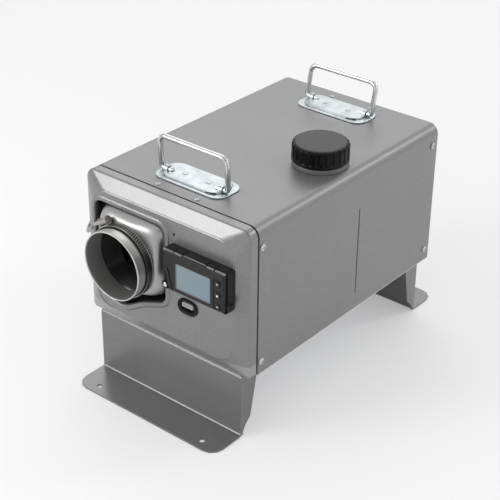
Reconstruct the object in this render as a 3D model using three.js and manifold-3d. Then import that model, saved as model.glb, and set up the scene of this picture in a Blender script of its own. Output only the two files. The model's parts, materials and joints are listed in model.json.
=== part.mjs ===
// A portable diesel air heater in one case: air heater on the left, fuel tank on the right.
// Millimetres, +Z up, the front towards -Y. Heights start at the floor and depths at the seam
// between the front panel and the sleeve; the whole is moved at the end so that the origin is
// on the floor under the middle of its box.

import * as THREE from 'three';
import { mergeVertices } from 'three/addons/utils/BufferGeometryUtils.js';
import Module from 'manifold-3d';

const { degToRad } = THREE.MathUtils;
const wasm = await Module();
wasm.setup();

// ---- Stock, clearances and smoothness ----
const GAP = 0.3; // between pieces that touch
const CASE_SHEET = 1.2;
const FOOT_SHEET = 2;
const PLATE_SHEET = 1.5; // handle plates and inner brackets
const TUBE_WALL = 1.2;
const CORNER_STEPS = 3; // steps of a quarter-round corner
const ROUND_STEPS = 28; // sides of a large round
const SMALL_STEPS = 12; // sides of a small round
const HOLE_STEPS = 8; // sides of a fixing hole
const STUB_STEPS = 16; // sides of a middling round
const OVERCUT = 1; // how far a cutter runs past what it cuts

// ---- Case ----
const CASE_WIDTH = 235;
const CASE_DEPTH = 336;
const CASE_HEIGHT = 180;
const CASE_CORNER = 12.5; // long top edges and rear lower corners
const SEAM = 0.9; // dark line between sleeve and front panel
const FLANGE_DEPTH = 13; // return flanges of the panels under the sleeve
const TRAY_SIDE = 12; // upturned sides of the base tray

// ---- Front panel, a pressed pan ----
const RIM_DEPTH = 11;
const BEVEL_DEPTH = 8.8;
const BEVEL_INSET = 16;
const RIM_LOWER_CORNER = 5;
const FACE_CORNER = 24;
const RIDGE_HEIGHT = 1.5; // raised frame round the duct opening
const RIDGE_WIDTH = 5;
const RIDGE_CORNER = 14;
const OPENING_WIDTH = 101;
const OPENING_HEIGHT = 90;
const OPENING_ASIDE = -4.3; // middle of the opening from the duct's axis
const OPENING_ABOVE = 3.7;
const PIN_HOLE = { aside: 0.7, above: 12.1, radius: 1.5 }; // from the controller's upper left corner

const SIGHT_SLOT = { y: 180, width: 2, from: 21, to: 131 }; // fuel level slot, right side

// ---- Rear panel ----
const REAR_INSET = 1;
const GRILLE_RINGS = 4;
const GRILLE_SPOKES = 4;
const GRILLE_SLOT = 7;
const GRILLE_BAR = 3.4;
const GRILLE_HUB = 10;
const GLAND = { inset: 39.5, rise: 31, radius: 7, nut: 11, bore: 3.5, depth: 9 };

// ---- Feet ----
const FOOT_HEIGHT = 80.7; // top of the foot's flange, one gap under the case
const FOOT_WIDTH = 212;
const FOOT_TOE = 46.3; // toe flange in front of the plate
const FOOT_SHELF = 36; // upper flange under the case
const FOOT_TOE_CORNER = 16;
const FOOT_RETURN = { top: 28, low: 16, lowAt: 20, toe: 3 };
const FOOT_BEND = 3.5;
const FOOT_HOLE = { spread: 158, setback: 12.1, radius: 3.25 };
const REAR_FOOT_SETBACK = 3.2; // rear foot's plate inside the sleeve's rear edge

// ---- Case screws ----
const SCREW_HEAD = { radius: 4, height: 2.4 };
const SCREW_SHANK = { radius: 1.7, length: 7 };
const SCREW_FROM_FRONT = 7;
const SCREW_FROM_REAR = 10;
const SCREW_FROM_BOTTOM = 16;
const SCREW_FROM_TOP = 24;

// ---- Duct ----
const DUCT_X = -42.7;
const DUCT_RISE = 98.8; // axis above the lower edge of the case
const SPIGOT_RADIUS = 40;
const SPIGOT_MOUTH = -53.5;
const SPIGOT_SEAT = -29.7; // shoulder of the hood
const SPIGOT_BEAD = 0.8;
const NECK_LENGTH = 17;
const HOOD = { width: 90, height: 84, corner: 16, clearance: 0.7, dome: 15.7, shoulder: 0.62 };
const SEAL = { thickness: 1, front: -41.5, rear: -30 };
const BAND = { thickness: 0.8, front: -40.3, rear: -31, slots: 18, slotWidth: 1.3, slotLength: 6 };
const CLAMP_ANGLE = 122; // degrees round the duct, from +X towards +Z
const WORM = { radius: 3.5, length: 13, neck: 2.2, wall: 0.9 };
const WING = { start: 14, end: 27, inner: 3.4, outer: 8.6, thickness: 1.6 };
const WING_TURN = Math.PI / 2; // how the wing stands at rest

// ---- Air heater ----
const JACKET = { half: 61, corner: 40, wall: 2.5, front: 6, flareEnd: 30, rearSpace: 18 };
const CRADLE = { front: 60, rearSpace: 10, halfWidth: 33, foot: 13, bend: 2.5 };
const EXCHANGER = { front: 44, rearSpace: 126, core: 34, wall: 3, fins: 22, finTip: 55, finThickness: 2 };
const FIN_TAPER = 0.7; // tip of a fin, of its thickness at the root
const EXCHANGER_END = 8; // dome at the front, flange at the rear
const CHAMBER = { radius: 21.5, wall: 1.5, frontSpace: 34, flange: 28, plate: 3 };
const GLOW_PLUG = { radius: 3.5, length: 36, offset: 8 };
const BURNER = { radius: 38, length: 40, cavity: 32, cavityDepth: 22, base: 32, baseLength: 34 };
const BURNER_PASSAGES = { exhaustDrop: 22, exhaustAside: -4, airAside: 2 }; // from the axis
const MOTOR = { radius: 24, length: 30, plate: 2, plateRadius: 36 };
const SHAFT = { radius: 2.5, play: 0.4 };
const BLOWER = { radius: 28, hub: 8, width: 14, disc: 2, blades: 9, thickness: 1.6 };
const FAN = { radius: 54, hub: 20, width: 20, blades: 9, thickness: 2, sweep: 17 };
const FAN_PITCH = { root: 58, twist: 30, inset: 3 }; // degrees, and blades inside the hub's ends
const FAN_NOSE = { length: 4, chamfer: 5 };
const BLADE_SECTION = [[-1, -0.3], [-0.3, -1], [0.5, -0.8], [1, 0], [0.4, 0.6], [-0.4, 0.5]];
const FAN_SPACE = 6; // between motor and fan
const BOARD = { width: 38, length: 32, height: 14 };
const BURNER_CORNER = 4;
const GASKET = 2;
const GASKET_MARGIN = 2; // round the burner's base
const EXHAUST = { radius: 12, offset: 16, drop: 23, passage: 8 };
const INTAKE = { radius: 11, offset: -16, drop: 23, passage: 8 };
const STUB_INSERT = 15;

// ---- Fuel ----
const TANK = { leftSpace: 6.2, sideSpace: 4, front: 44, rearSpace: 24, topSpace: 9.5, corner: 8, wall: 3 };
const FILLER = { inset: 38.5, y: 162, radius: 25, bore: 21, rise: 20 }; // inset from the tank's right
const COLLAR = { radius: 32, height: 5.7, chamfer: 1.2 };
const CAP = { radius: 32.5, height: 21.7, disc: 28.5, chamfer: 3, roof: 4, flutes: 30, flute: 1.1 };
const CAP_SEAL = { thickness: 3.4, play: 0.6 };
const NIPPLE = { radius: 2.4, bore: 1.2, length: 8 };
const OUTLET_HEIGHT = 9.3; // nipple axes above the tray
const OUTLET_INSET = 8; // from the tank's right
const FILTER = { radius: 9, length: 42, space: 12, y: 30 };
const PUMP = { radius: 13, front: 70, length: 90, height: 17.5, coil: 2 };
const PUMP_COIL = { fromFront: 8, fromRear: 20, shoulder: 2, taper: 3 };
const PUMP_CLIP = { front: 104, length: 20, wall: 1.5, foot: 26 };
const HOSE = { radius: 3.8, sides: 8, steps: 9 };
const HOSE_LEAD = { filter: 20, pump: 12 }; // straight ends
const HOSE_BEND = { aside: 24, forward: 22, shift: 2 }; // where the pump hose turns

// ---- Controller ----
const CONTROLLER = { fromOpening: 15.5, fromSide: 15.5, rise: 88, height: 46.7, proud: 15 };
const CONTROLLER_EDGE = { corner: 4, bevel: 1.2 };
const BRACKET_WINDOW = { aside: 15, above: 8 };
const BRACKET_HOLE = { radius: 2, outwards: 1, steps: 12 };
const EAR_STEPS = 14;
const BRACKET = { back: 3, margin: 2.4, wall: 1.4, lip: 7.5, corner: 5, ear: 6, earThickness: 4 };
const SCREEN = { left: 16, right: 20, rise: 5.8, height: 29.5, corner: 1.5, thickness: 1, sunk: 0.4 };
const BUTTON = { inset: 9.2, radius: 3.4, length: 5, proud: 1.1 };
const BUTTON_RISES = { button_up: 33.2, button_set: 19.4, button_down: 6.2 };
const PORT = { aside: 17.8, rise: 62.5, width: 26, height: 16, depth: 8, wall: 2.4 };
const PORT_LIP = { reach: 2.2, thickness: 2 };
const PORT_PIN = { count: 3, pitch: 5, radius: 1.2, depth: 4 };

// ---- Handles ----
const HANDLE = { width: 104, length: 42.5, front: 18.5, pivot: 17, corner: 5, crown: 1.2 };
const REAR_HANDLE_SPACE = 22; // from the rear plate to the case's rear edge
const BAIL = { wire: 3, halfWidth: 47.5, height: 38.5, bend: 9, pinInset: 16, steps: 4, sides: 8 };
const LOOP = { inner: 33, width: 9, wall: 1.3 };
const FRONT_LEAN = 3;
const REAR_LEAN = 12;
const RIVET = { x: 17, shank: 2 };
const KEYHOLE = { aside: 8.5, width: 6, below: 3.5, above: 0.5, corner: 1.9 }; // lightening slots

// ---- Derived places ----
const CASE_BOTTOM = FOOT_HEIGHT + GAP;
const DUCT_Z = CASE_BOTTOM + DUCT_RISE;
const CASE_TOP = CASE_BOTTOM + CASE_HEIGHT;
const CASE_SIDE = CASE_WIDTH / 2;
const INSIDE_SIDE = CASE_SIDE - CASE_SHEET - GAP;
const INSIDE_TOP = CASE_TOP - CASE_SHEET - GAP;
const TRAY_TOP = CASE_BOTTOM + CASE_SHEET;
const SEAT = TRAY_TOP + GAP; // where pieces stand on the tray
const FACE = -(RIM_DEPTH + BEVEL_DEPTH);
const REAR_FACE = CASE_DEPTH - REAR_INSET;
const FRONT_FOOT_FACE = -(RIM_DEPTH + GAP);
const REAR_FOOT_FACE = CASE_DEPTH - REAR_FOOT_SETBACK;
const MIDDLE = (FRONT_FOOT_FACE + REAR_FOOT_FACE) / 2;
const SEAL_INNER = SPIGOT_RADIUS + GAP;
const SEAL_OUTER = SEAL_INNER + SEAL.thickness;
const BAND_INNER = SEAL_OUTER + GAP;
const BAND_OUTER = BAND_INNER + BAND.thickness;
const BAND_MIDDLE = (BAND.front + BAND.rear) / 2;
const OPENING_CENTRE_X = DUCT_X + OPENING_ASIDE;
const OPENING_CENTRE_Z = DUCT_Z + OPENING_ABOVE;
const HOOD_RIGHT = OPENING_CENTRE_X + OPENING_WIDTH / 2 - HOOD.clearance;
const HOOD_TOP = OPENING_CENTRE_Z + OPENING_HEIGHT / 2 - HOOD.clearance;
const JACKET_REAR = CASE_DEPTH - JACKET.rearSpace;
const EXCHANGER_REAR = CASE_DEPTH - EXCHANGER.rearSpace;
const CHAMBER_FRONT = EXCHANGER.front + CHAMBER.frontSpace;
const CRADLE_REAR = EXCHANGER_REAR - CRADLE.rearSpace;
const BURNER_FRONT = EXCHANGER_REAR + GAP;
const BURNER_REAR = BURNER_FRONT + BURNER.length;
const MOTOR_FRONT = BURNER_REAR + GAP;
const MOTOR_REAR = MOTOR_FRONT + MOTOR.length;
const FAN_FRONT = MOTOR_REAR + FAN_SPACE;
const FAN_REAR = FAN_FRONT + FAN.width;
const STUB_Y = BURNER_FRONT + BURNER.length / 2;
const NECK_TOP = CASE_TOP + FILLER.rise;
const COLLAR_TOP = CASE_TOP + GAP + COLLAR.height;
const CAP_BOTTOM = COLLAR_TOP + GAP;
const CAP_TOP = CAP_BOTTOM + CAP.height;
const CAP_ROOF = CAP_TOP - CAP.roof;
const TANK_LEFT = DUCT_X + JACKET.half + TANK.leftSpace;
const TANK_RIGHT = INSIDE_SIDE - TANK.sideSpace;
const TANK_REAR = CASE_DEPTH - TANK.rearSpace;
const TANK_TOP = INSIDE_TOP - TANK.topSpace;
const FILLER_X = TANK_RIGHT - FILLER.inset;
const OUTLET_X = TANK_RIGHT - OUTLET_INSET;
const FILTER_RIGHT = OUTLET_X - FILTER.space;
const FILTER_LEFT = FILTER_RIGHT - FILTER.length;
const LINE_Z = TRAY_TOP + OUTLET_HEIGHT;
const PUMP_Z = TRAY_TOP + PUMP.height;
const PUMP_REAR = PUMP.front + PUMP.length;
const CONTROLLER_LEFT = OPENING_CENTRE_X + OPENING_WIDTH / 2 + CONTROLLER.fromOpening;
const CONTROLLER_RIGHT = CASE_SIDE - CONTROLLER.fromSide;
const CONTROLLER_BOTTOM = CASE_BOTTOM + CONTROLLER.rise;
const CONTROLLER_TOP = CONTROLLER_BOTTOM + CONTROLLER.height;
const CONTROLLER_FRONT = FACE - CONTROLLER.proud;
const SCREEN_LEFT = CONTROLLER_LEFT + SCREEN.left;
const SCREEN_RIGHT = CONTROLLER_RIGHT - SCREEN.right;
const SCREEN_BOTTOM = CONTROLLER_BOTTOM + SCREEN.rise;
const SCREEN_TOP = SCREEN_BOTTOM + SCREEN.height;
const BUTTON_X = CONTROLLER_RIGHT - BUTTON.inset;
const PORT_X = CONTROLLER_LEFT + PORT.aside;
const PORT_Z = CASE_BOTTOM + PORT.rise;
const GLAND_X = CASE_SIDE - GLAND.inset;
const GLAND_Z = CASE_BOTTOM + GLAND.rise;
const BRACKET_REAR = FACE - GAP;
const BRACKET_FRONT = BRACKET_REAR - BRACKET.back;
const PLATE_TOP = CASE_TOP + GAP + PLATE_SHEET;
const REAR_HANDLE_END = CASE_DEPTH - REAR_HANDLE_SPACE;
const PIVOT_Z = PLATE_TOP + BAIL.wire + GAP;

// ---- Materials ----
function finish(color, roughness, metalness) {
  return new THREE.MeshStandardMaterial({ color, roughness, metalness });
}
const PAINT = finish(0x77787a, 0.45, 0.6);
const PANEL_PAINT = finish(0x6d6e70, 0.45, 0.6);
const ZINC = finish(0xc9cdd2, 0.3, 0.9);
const CHROME = finish(0xd9dadc, 0.12, 1);
const BRUSHED = finish(0xb4b4b2, 0.32, 0.95);
const CAST = finish(0xa2a4a6, 0.55, 0.8);
const BLACK_PLASTIC = finish(0x17181a, 0.5, 0);
const CONTROL_PLASTIC = finish(0x2a2b2d, 0.55, 0);
const RUBBER = finish(0x101010, 0.85, 0);
const SCREEN_GLASS = finish(0x8494a0, 0.2, 0);
const TANK_PLASTIC = finish(0xd8d6cc, 0.55, 0);
const BRASS = finish(0xb89b52, 0.35, 0.9);
const GREEN_BOARD = finish(0x1f5a38, 0.6, 0.1);
const KEY_PLASTIC = finish(0x3a3b3e, 0.6, 0);

// ---- Solids ----

/** Turns a closed geometry into a solid with its faces pointing out. */
function solid(geometry) {
  geometry.deleteAttribute('normal');
  geometry.deleteAttribute('uv');
  const merged = mergeVertices(geometry, 1e-4);
  const points = merged.attributes.position.array;
  const corners = [];
  let volume = 0;
  const a = new THREE.Vector3();
  const b = new THREE.Vector3();
  const c = new THREE.Vector3();
  for (let i = 0; i < merged.index.count; i += 3) {
    const [p, q, r] = merged.index.array.slice(i, i + 3);
    if (p !== q && q !== r && r !== p) {
      corners.push(p, q, r);
      a.fromArray(points, 3 * p);
      b.fromArray(points, 3 * q);
      c.fromArray(points, 3 * r);
      volume += a.dot(b.cross(c));
    }
  }
  if (volume < 0) {
    corners.reverse();
  }
  const triVerts = new Uint32Array(corners);
  return new wasm.Manifold(new wasm.Mesh({ numProp: 3, vertProperties: points, triVerts }));
}

/** Joins several solids. */
function join(...solids) {
  return solids.reduce((sum, next) => sum.add(next));
}

/** Points of a rectangle with rounded corners: lower left, lower right, upper right, upper left. */
function roundedRectangle(left, bottom, right, top, radii) {
  const corner = Array.isArray(radii) ? radii : [radii, radii, radii, radii];
  const centres = [
    [left, bottom, 1, 1],
    [right, bottom, -1, 1],
    [right, top, -1, -1],
    [left, top, 1, -1],
  ];
  const points = [];
  centres.forEach(([x, y, inX, inY], index) => {
    const radius = corner[index];
    const steps = radius > 0 ? CORNER_STEPS : 0;
    for (let step = 0; step <= steps; step += 1) {
      const angle = Math.PI * (1 + index / 2 + (steps > 0 ? step / steps / 2 : 0));
      const offsetX = radius * (inX + (steps > 0 ? Math.cos(angle) : 0));
      const offsetY = radius * (inY + (steps > 0 ? Math.sin(angle) : 0));
      points.push(new THREE.Vector2(x + offsetX, y + offsetY));
    }
  });
  return points;
}

/** Shape of a rectangle with rounded corners. */
function rectangle(left, bottom, right, top, radii = 0) {
  return new THREE.Shape(roundedRectangle(left, bottom, right, top, radii));
}

/** Shape of a disc. */
function disc(x, y, radius, steps = SMALL_STEPS) {
  const points = [];
  for (let step = 0; step < steps; step += 1) {
    const angle = (2 * Math.PI * step) / steps;
    points.push(new THREE.Vector2(x + radius * Math.cos(angle), y + radius * Math.sin(angle)));
  }
  return new THREE.Shape(points);
}

/** Shape of a round hole whose flats lie at its radius, so that a round piece clears it. */
function opening(x, y, radius, steps = SMALL_STEPS) {
  return disc(x, y, radius / Math.cos(Math.PI / steps), steps);
}

/** Plain extrusion of a shape, upwards from zero. */
function extrusion(shape, depth, bevel = {}) {
  const settings = { depth, bevelEnabled: false, curveSegments: CORNER_STEPS, ...bevel };
  return new THREE.ExtrudeGeometry(shape, settings);
}

/** Solid from an (x, z) outline between two depths. */
function alongY(shape, from, to) {
  return solid(extrusion(shape, to - from).rotateX(Math.PI / 2).translate(0, to, 0));
}

/** Solid from an (x, y) outline between two heights. */
function alongZ(shape, from, to) {
  return solid(extrusion(shape, to - from).translate(0, 0, from));
}

/** Solid from a (y, z) outline between two places across the width. */
function alongX(shape, from, to) {
  return solid(extrusion(shape, to - from).rotateX(Math.PI / 2).rotateZ(Math.PI / 2).translate(from, 0, 0));
}

/** Upright cylinder between two heights. */
function post(x, y, radius, from, to, steps = SMALL_STEPS) {
  return alongZ(disc(x, y, radius, steps), from, to);
}

/** Cylinder along the depth between two places. */
function barrel(x, z, radius, from, to, steps = ROUND_STEPS) {
  return alongY(disc(x, z, radius, steps), from, to);
}

/** Solid of revolution round a line along the depth; the profile lists [radius, depth]. */
function turnedAlongY(x, z, profile, steps = ROUND_STEPS) {
  const points = profile.map(([radius, depth]) => new THREE.Vector2(radius, depth));
  return solid(new THREE.LatheGeometry(points, steps).translate(x, 0, z));
}

/** Solid of revolution round an upright line; the profile lists [radius, height]. */
function turnedAlongZ(x, y, profile, steps = ROUND_STEPS) {
  const points = profile.map(([radius, height]) => new THREE.Vector2(radius, height));
  return solid(new THREE.LatheGeometry(points, steps).rotateX(Math.PI / 2).translate(x, y, 0));
}

/** Closed profile of a tube wall between two ends. */
function wallProfile(inner, outer, from, to) {
  return [[inner, from], [outer, from], [outer, to], [inner, to], [inner, from]];
}

/** Closed surface through rings of points in space, with as many points each and flat ends. */
function skin(rings) {
  const count = rings[0].length;
  const positions = rings.flat().flatMap((point) => point.toArray());
  const index = [];
  for (let ring = 0; ring + 1 < rings.length; ring += 1) {
    for (let step = 0; step < count; step += 1) {
      const here = ring * count + step;
      const next = ring * count + ((step + 1) % count);
      index.push(here, next, next + count, here, next + count, here + count);
    }
  }
  const last = (rings.length - 1) * count;
  for (let step = 1; step + 1 < count; step += 1) {
    index.push(0, step + 1, step, last, last + step, last + step + 1);
  }
  const geometry = new THREE.BufferGeometry();
  geometry.setAttribute('position', new THREE.Float32BufferAttribute(positions, 3));
  geometry.setIndex(index);
  return geometry;
}

/** Loft through (x, z) outlines with as many points each; sections are { y, points }. */
function loft(sections) {
  return solid(skin(sections.map(
    ({ y, points }) => points.map((point) => new THREE.Vector3(point.x, y, point.y)),
  )));
}

/** Section of a loft: a rounded rectangle at one depth. */
function section(y, left, bottom, right, top, radii) {
  return { y, points: roundedRectangle(left, bottom, right, top, radii) };
}

/** Section of a loft round the duct's axis. */
function ductSection(y, halfWidth, halfHeight, corner) {
  return section(y, DUCT_X - halfWidth, DUCT_Z - halfHeight, DUCT_X + halfWidth, DUCT_Z + halfHeight, corner);
}

/** Outline of a sheet bent along a middle line with one bend radius. */
function bentSheet(path, thickness, radius) {
  const stations = [];
  const heading = (from, to) => to.clone().sub(from).normalize();
  const normal = (direction) => new THREE.Vector2(-direction.y, direction.x);
  const origin = new THREE.Vector2();
  stations.push({ point: path[0], side: normal(heading(path[0], path[1])) });
  for (let i = 1; i + 1 < path.length; i += 1) {
    const before = heading(path[i - 1], path[i]);
    const after = heading(path[i], path[i + 1]);
    const turn = Math.atan2(before.cross(after), before.dot(after));
    const run = radius * Math.tan(Math.abs(turn) / 2);
    const start = path[i].clone().addScaledVector(before, -run);
    const centre = start.clone().addScaledVector(normal(before), Math.sign(turn) * radius);
    for (let step = 0; step <= CORNER_STEPS; step += 1) {
      const side = normal(before).rotateAround(origin, (turn * step) / CORNER_STEPS);
      stations.push({ point: centre.clone().addScaledVector(side, -Math.sign(turn) * radius), side });
    }
  }
  const end = path.length - 1;
  stations.push({ point: path[end], side: normal(heading(path[end - 1], path[end])) });
  const left = stations.map(({ point, side }) => point.clone().addScaledVector(side, thickness / 2));
  const right = stations.map(({ point, side }) => point.clone().addScaledVector(side, -thickness / 2));
  return new THREE.Shape([...left, ...right.reverse()]);
}

/** Round bar or hose along a curve. */
function rod(curve, radius, steps, sides) {
  const settings = { steps, bevelEnabled: false, extrudePath: curve };
  return solid(new THREE.ExtrudeGeometry(disc(0, 0, radius, sides), settings));
}

/** Geometry of a solid, ready for a mesh. */
function geometryOf(body) {
  const mesh = body.getMesh();
  const geometry = new THREE.BufferGeometry();
  geometry.setAttribute('position', new THREE.BufferAttribute(new Float32Array(mesh.vertProperties), 3));
  geometry.setIndex(new THREE.BufferAttribute(new Uint32Array(mesh.triVerts), 1));
  const flat = geometry.toNonIndexed();
  flat.computeVertexNormals();
  return flat;
}

const heater = new THREE.Group();
heater.position.y = -MIDDLE;

/** Adds one named piece to the model. */
function piece(name, body, material) {
  const mesh = new THREE.Mesh(geometryOf(body), material);
  mesh.name = name;
  heater.add(mesh);
  return mesh;
}

// ---- Case ----

/** Depths and heights of the four screws in one side of the case. */
function sideScrewPlaces() {
  const depths = [SCREW_FROM_FRONT, CASE_DEPTH - SCREW_FROM_REAR];
  const heights = [CASE_BOTTOM + SCREW_FROM_BOTTOM, CASE_TOP - SCREW_FROM_TOP];
  return depths.flatMap((y) => heights.map((z) => ({ y, z })));
}

/** Cutter for the side screws through sleeve and flanges, both sides. */
function screwHoles() {
  const radius = SCREW_SHANK.radius + GAP;
  const reach = CASE_SIDE + OVERCUT;
  return join(...sideScrewPlaces().flatMap(({ y, z }) => [
    alongX(opening(y, z, radius, HOLE_STEPS), reach - SCREW_SHANK.length, reach),
    alongX(opening(y, z, radius, HOLE_STEPS), -reach, SCREW_SHANK.length - reach),
  ]));
}

/** Top and side sheet of the case with its filler hole, sight slot and fixing holes. */
function caseSleeve() {
  const corner = [0, 0, CASE_CORNER, CASE_CORNER];
  const inner = CASE_CORNER - CASE_SHEET;
  const outside = rectangle(-CASE_SIDE, CASE_BOTTOM, CASE_SIDE, CASE_TOP, corner);
  const inside = rectangle(
    CASE_SHEET - CASE_SIDE,
    CASE_BOTTOM - OVERCUT,
    CASE_SIDE - CASE_SHEET,
    CASE_TOP - CASE_SHEET,
    [0, 0, inner, inner],
  );
  const shell = alongY(outside, SEAM, CASE_DEPTH).subtract(alongY(inside, 0, CASE_DEPTH + OVERCUT));
  const sideView = rectangle(0, CASE_BOTTOM, CASE_DEPTH, CASE_TOP + OVERCUT, [0, CASE_CORNER, 0, 0]);
  const slot = rectangle(
    SIGHT_SLOT.y - SIGHT_SLOT.width / 2,
    CASE_BOTTOM + SIGHT_SLOT.from,
    SIGHT_SLOT.y + SIGHT_SLOT.width / 2,
    CASE_BOTTOM + SIGHT_SLOT.to,
    SIGHT_SLOT.width / 2 - 0.05,
  );
  const reach = CASE_SIDE + OVERCUT;
  return shell
    .intersect(alongX(sideView, -reach, reach))
    .subtract(alongX(slot, CASE_SIDE - CASE_SHEET - OVERCUT, reach))
    .subtract(alongZ(
      opening(FILLER_X, FILLER.y, FILLER.radius + GAP, ROUND_STEPS),
      CASE_TOP - CASE_SHEET - OVERCUT,
      CASE_TOP + OVERCUT,
    ))
    .subtract(rivetHoles(CASE_TOP - CASE_SHEET - OVERCUT, CASE_TOP + OVERCUT))
    .subtract(screwHoles());
}

/** Round opening of the duct in the front panel, as an outline grown by a margin. */
function openingOutline(margin, corner) {
  return rectangle(
    OPENING_CENTRE_X - OPENING_WIDTH / 2 - margin,
    OPENING_CENTRE_Z - OPENING_HEIGHT / 2 - margin,
    OPENING_CENTRE_X + OPENING_WIDTH / 2 + margin,
    OPENING_CENTRE_Z + OPENING_HEIGHT / 2 + margin,
    corner,
  );
}

/** One closed form of the pan, inset by a wall, from its face back to its return flange. */
function panForm(wall, extra) {
  const faceInset = BEVEL_INSET + wall;
  const lower = RIM_LOWER_CORNER;
  const inside = (radius) => Math.max(radius - wall, 1);
  const rim = [lower, lower, CASE_CORNER, CASE_CORNER].map(inside);
  const upper = CASE_CORNER - CASE_SHEET;
  const at = (y, inset, radii) => section(
    y,
    inset - CASE_SIDE,
    CASE_BOTTOM + inset,
    CASE_SIDE - inset,
    CASE_TOP - inset,
    radii,
  );
  const face = FACE + wall;
  const front = loft([
    at(face, faceInset, FACE_CORNER),
    at(-RIM_DEPTH + wall / 2, wall, rim),
    at(-wall, wall, rim),
  ]);
  const flange = rectangle(
    wall - INSIDE_SIDE,
    SEAT + wall,
    INSIDE_SIDE - wall,
    INSIDE_TOP - wall,
    [lower, lower, upper, upper].map(inside),
  );
  return front.add(alongY(flange, -wall - 0.5, FLANGE_DEPTH + extra));
}

/** Pressed front panel with its duct opening, raised frame, pin hole and port hole. */
function frontPanel() {
  const ridge = alongY(openingOutline(RIDGE_WIDTH, RIDGE_CORNER), FACE - RIDGE_HEIGHT, FACE + CASE_SHEET / 2);
  const behind = alongY(
    openingOutline(RIDGE_WIDTH - 2 * CASE_SHEET, RIDGE_CORNER - CASE_SHEET),
    FACE - RIDGE_HEIGHT + CASE_SHEET,
    FACE + CASE_SHEET + OVERCUT,
  );
  const front = FACE - RIDGE_HEIGHT - OVERCUT;
  const back = FACE + CASE_SHEET + OVERCUT;
  return panForm(0, 0)
    .add(ridge)
    .subtract(panForm(CASE_SHEET, OVERCUT))
    .subtract(behind)
    .subtract(alongY(openingOutline(0, RIDGE_CORNER - RIDGE_WIDTH / 2), front, back))
    .subtract(barrel(
      CONTROLLER_LEFT + PIN_HOLE.aside,
      CONTROLLER_TOP + PIN_HOLE.above,
      PIN_HOLE.radius,
      front,
      back,
      SMALL_STEPS,
    ))
    .subtract(alongY(portOutline(GAP), front, back))
    .subtract(screwHoles());
}

/** Cutter for the rear grille: rings of slots between spokes, centred on the fan. */
function grilleSlots(from, to) {
  const slots = [];
  const spoke = GRILLE_BAR / 2;
  for (let ring = 0; ring < GRILLE_RINGS; ring += 1) {
    const inner = GRILLE_HUB + ring * (GRILLE_SLOT + GRILLE_BAR);
    const outer = inner + GRILLE_SLOT;
    for (let index = 0; index < GRILLE_SPOKES; index += 1) {
      const start = (2 * Math.PI * index) / GRILLE_SPOKES;
      const end = (2 * Math.PI * (index + 1)) / GRILLE_SPOKES;
      slots.push(alongY(arcSlot(inner, outer, start, end, spoke), from, to));
    }
  }
  return join(...slots);
}

/** Outline of one curved slot round the duct's axis, kept clear of the spokes. */
function arcSlot(inner, outer, start, end, clear) {
  const points = [];
  const steps = 3 + Math.round(outer / 25);
  for (const [radius, forward] of [[outer, true], [inner, false]]) {
    const margin = clear / radius;
    for (let step = 0; step <= steps; step += 1) {
      const share = forward ? step / steps : 1 - step / steps;
      const angle = start + margin + (end - start - 2 * margin) * share;
      points.push(new THREE.Vector2(DUCT_X + radius * Math.cos(angle), DUCT_Z + radius * Math.sin(angle)));
    }
  }
  return new THREE.Shape(points);
}

/** Rear panel: a shallow pan inside the sleeve, with the air grille and the cable inlet. */
function rearPanel() {
  const inner = CASE_CORNER - CASE_SHEET;
  const radii = [RIM_LOWER_CORNER, RIM_LOWER_CORNER, inner, inner];
  const outside = rectangle(-INSIDE_SIDE, SEAT, INSIDE_SIDE, INSIDE_TOP, radii);
  const inside = rectangle(
    CASE_SHEET - INSIDE_SIDE,
    SEAT + CASE_SHEET,
    INSIDE_SIDE - CASE_SHEET,
    INSIDE_TOP - CASE_SHEET,
    radii.map((radius) => radius - CASE_SHEET),
  );
  const plate = REAR_FACE - CASE_SHEET;
  const front = REAR_FACE - FLANGE_DEPTH;
  return alongY(outside, front, REAR_FACE)
    .subtract(alongY(inside, front - OVERCUT, plate))
    .subtract(grilleSlots(plate - OVERCUT, REAR_FACE + OVERCUT))
    .subtract(alongY(opening(GLAND_X, GLAND_Z, GLAND.radius + GAP), plate - OVERCUT, REAR_FACE + OVERCUT))
    .subtract(screwHoles());
}

/** Cable inlet in the rear panel, held by its collar and its inner nut. */
function cableGland() {
  const outside = REAR_FACE + GAP;
  const inside = REAR_FACE - CASE_SHEET - GAP;
  return turnedAlongY(GLAND_X, GLAND_Z, [
    [GLAND.bore, inside - GLAND.depth],
    [GLAND.radius, inside - GLAND.depth],
    [GLAND.radius, inside - GLAND.depth / 2],
    [GLAND.nut - 1, inside - GLAND.depth / 2],
    [GLAND.nut - 1, inside],
    [GLAND.radius, inside],
    [GLAND.radius, outside],
    [GLAND.nut, outside],
    [GLAND.nut, outside + GLAND.depth / 3],
    [GLAND.radius, outside + GLAND.depth],
    [GLAND.bore, outside + GLAND.depth],
    [GLAND.bore, inside - GLAND.depth],
  ], SMALL_STEPS);
}

/** Base tray with upturned sides and holes for the two stubs. */
function baseTray() {
  const rear = REAR_FACE;
  const floor = alongZ(rectangle(-INSIDE_SIDE, GAP, INSIDE_SIDE, rear), CASE_BOTTOM, TRAY_TOP);
  const from = FLANGE_DEPTH + GAP;
  const to = REAR_FACE - FLANGE_DEPTH - GAP;
  const side = (left) => alongX(
    rectangle(from, CASE_BOTTOM, to, TRAY_TOP + TRAY_SIDE, [0, 0, TRAY_SIDE / 3, TRAY_SIDE / 3]),
    left,
    left + CASE_SHEET,
  );
  return join(floor, side(-INSIDE_SIDE), side(INSIDE_SIDE - CASE_SHEET))
    .subtract(stubHole(EXHAUST, CASE_BOTTOM - OVERCUT, TRAY_TOP + OVERCUT))
    .subtract(stubHole(INTAKE, CASE_BOTTOM - OVERCUT, TRAY_TOP + OVERCUT));
}

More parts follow.
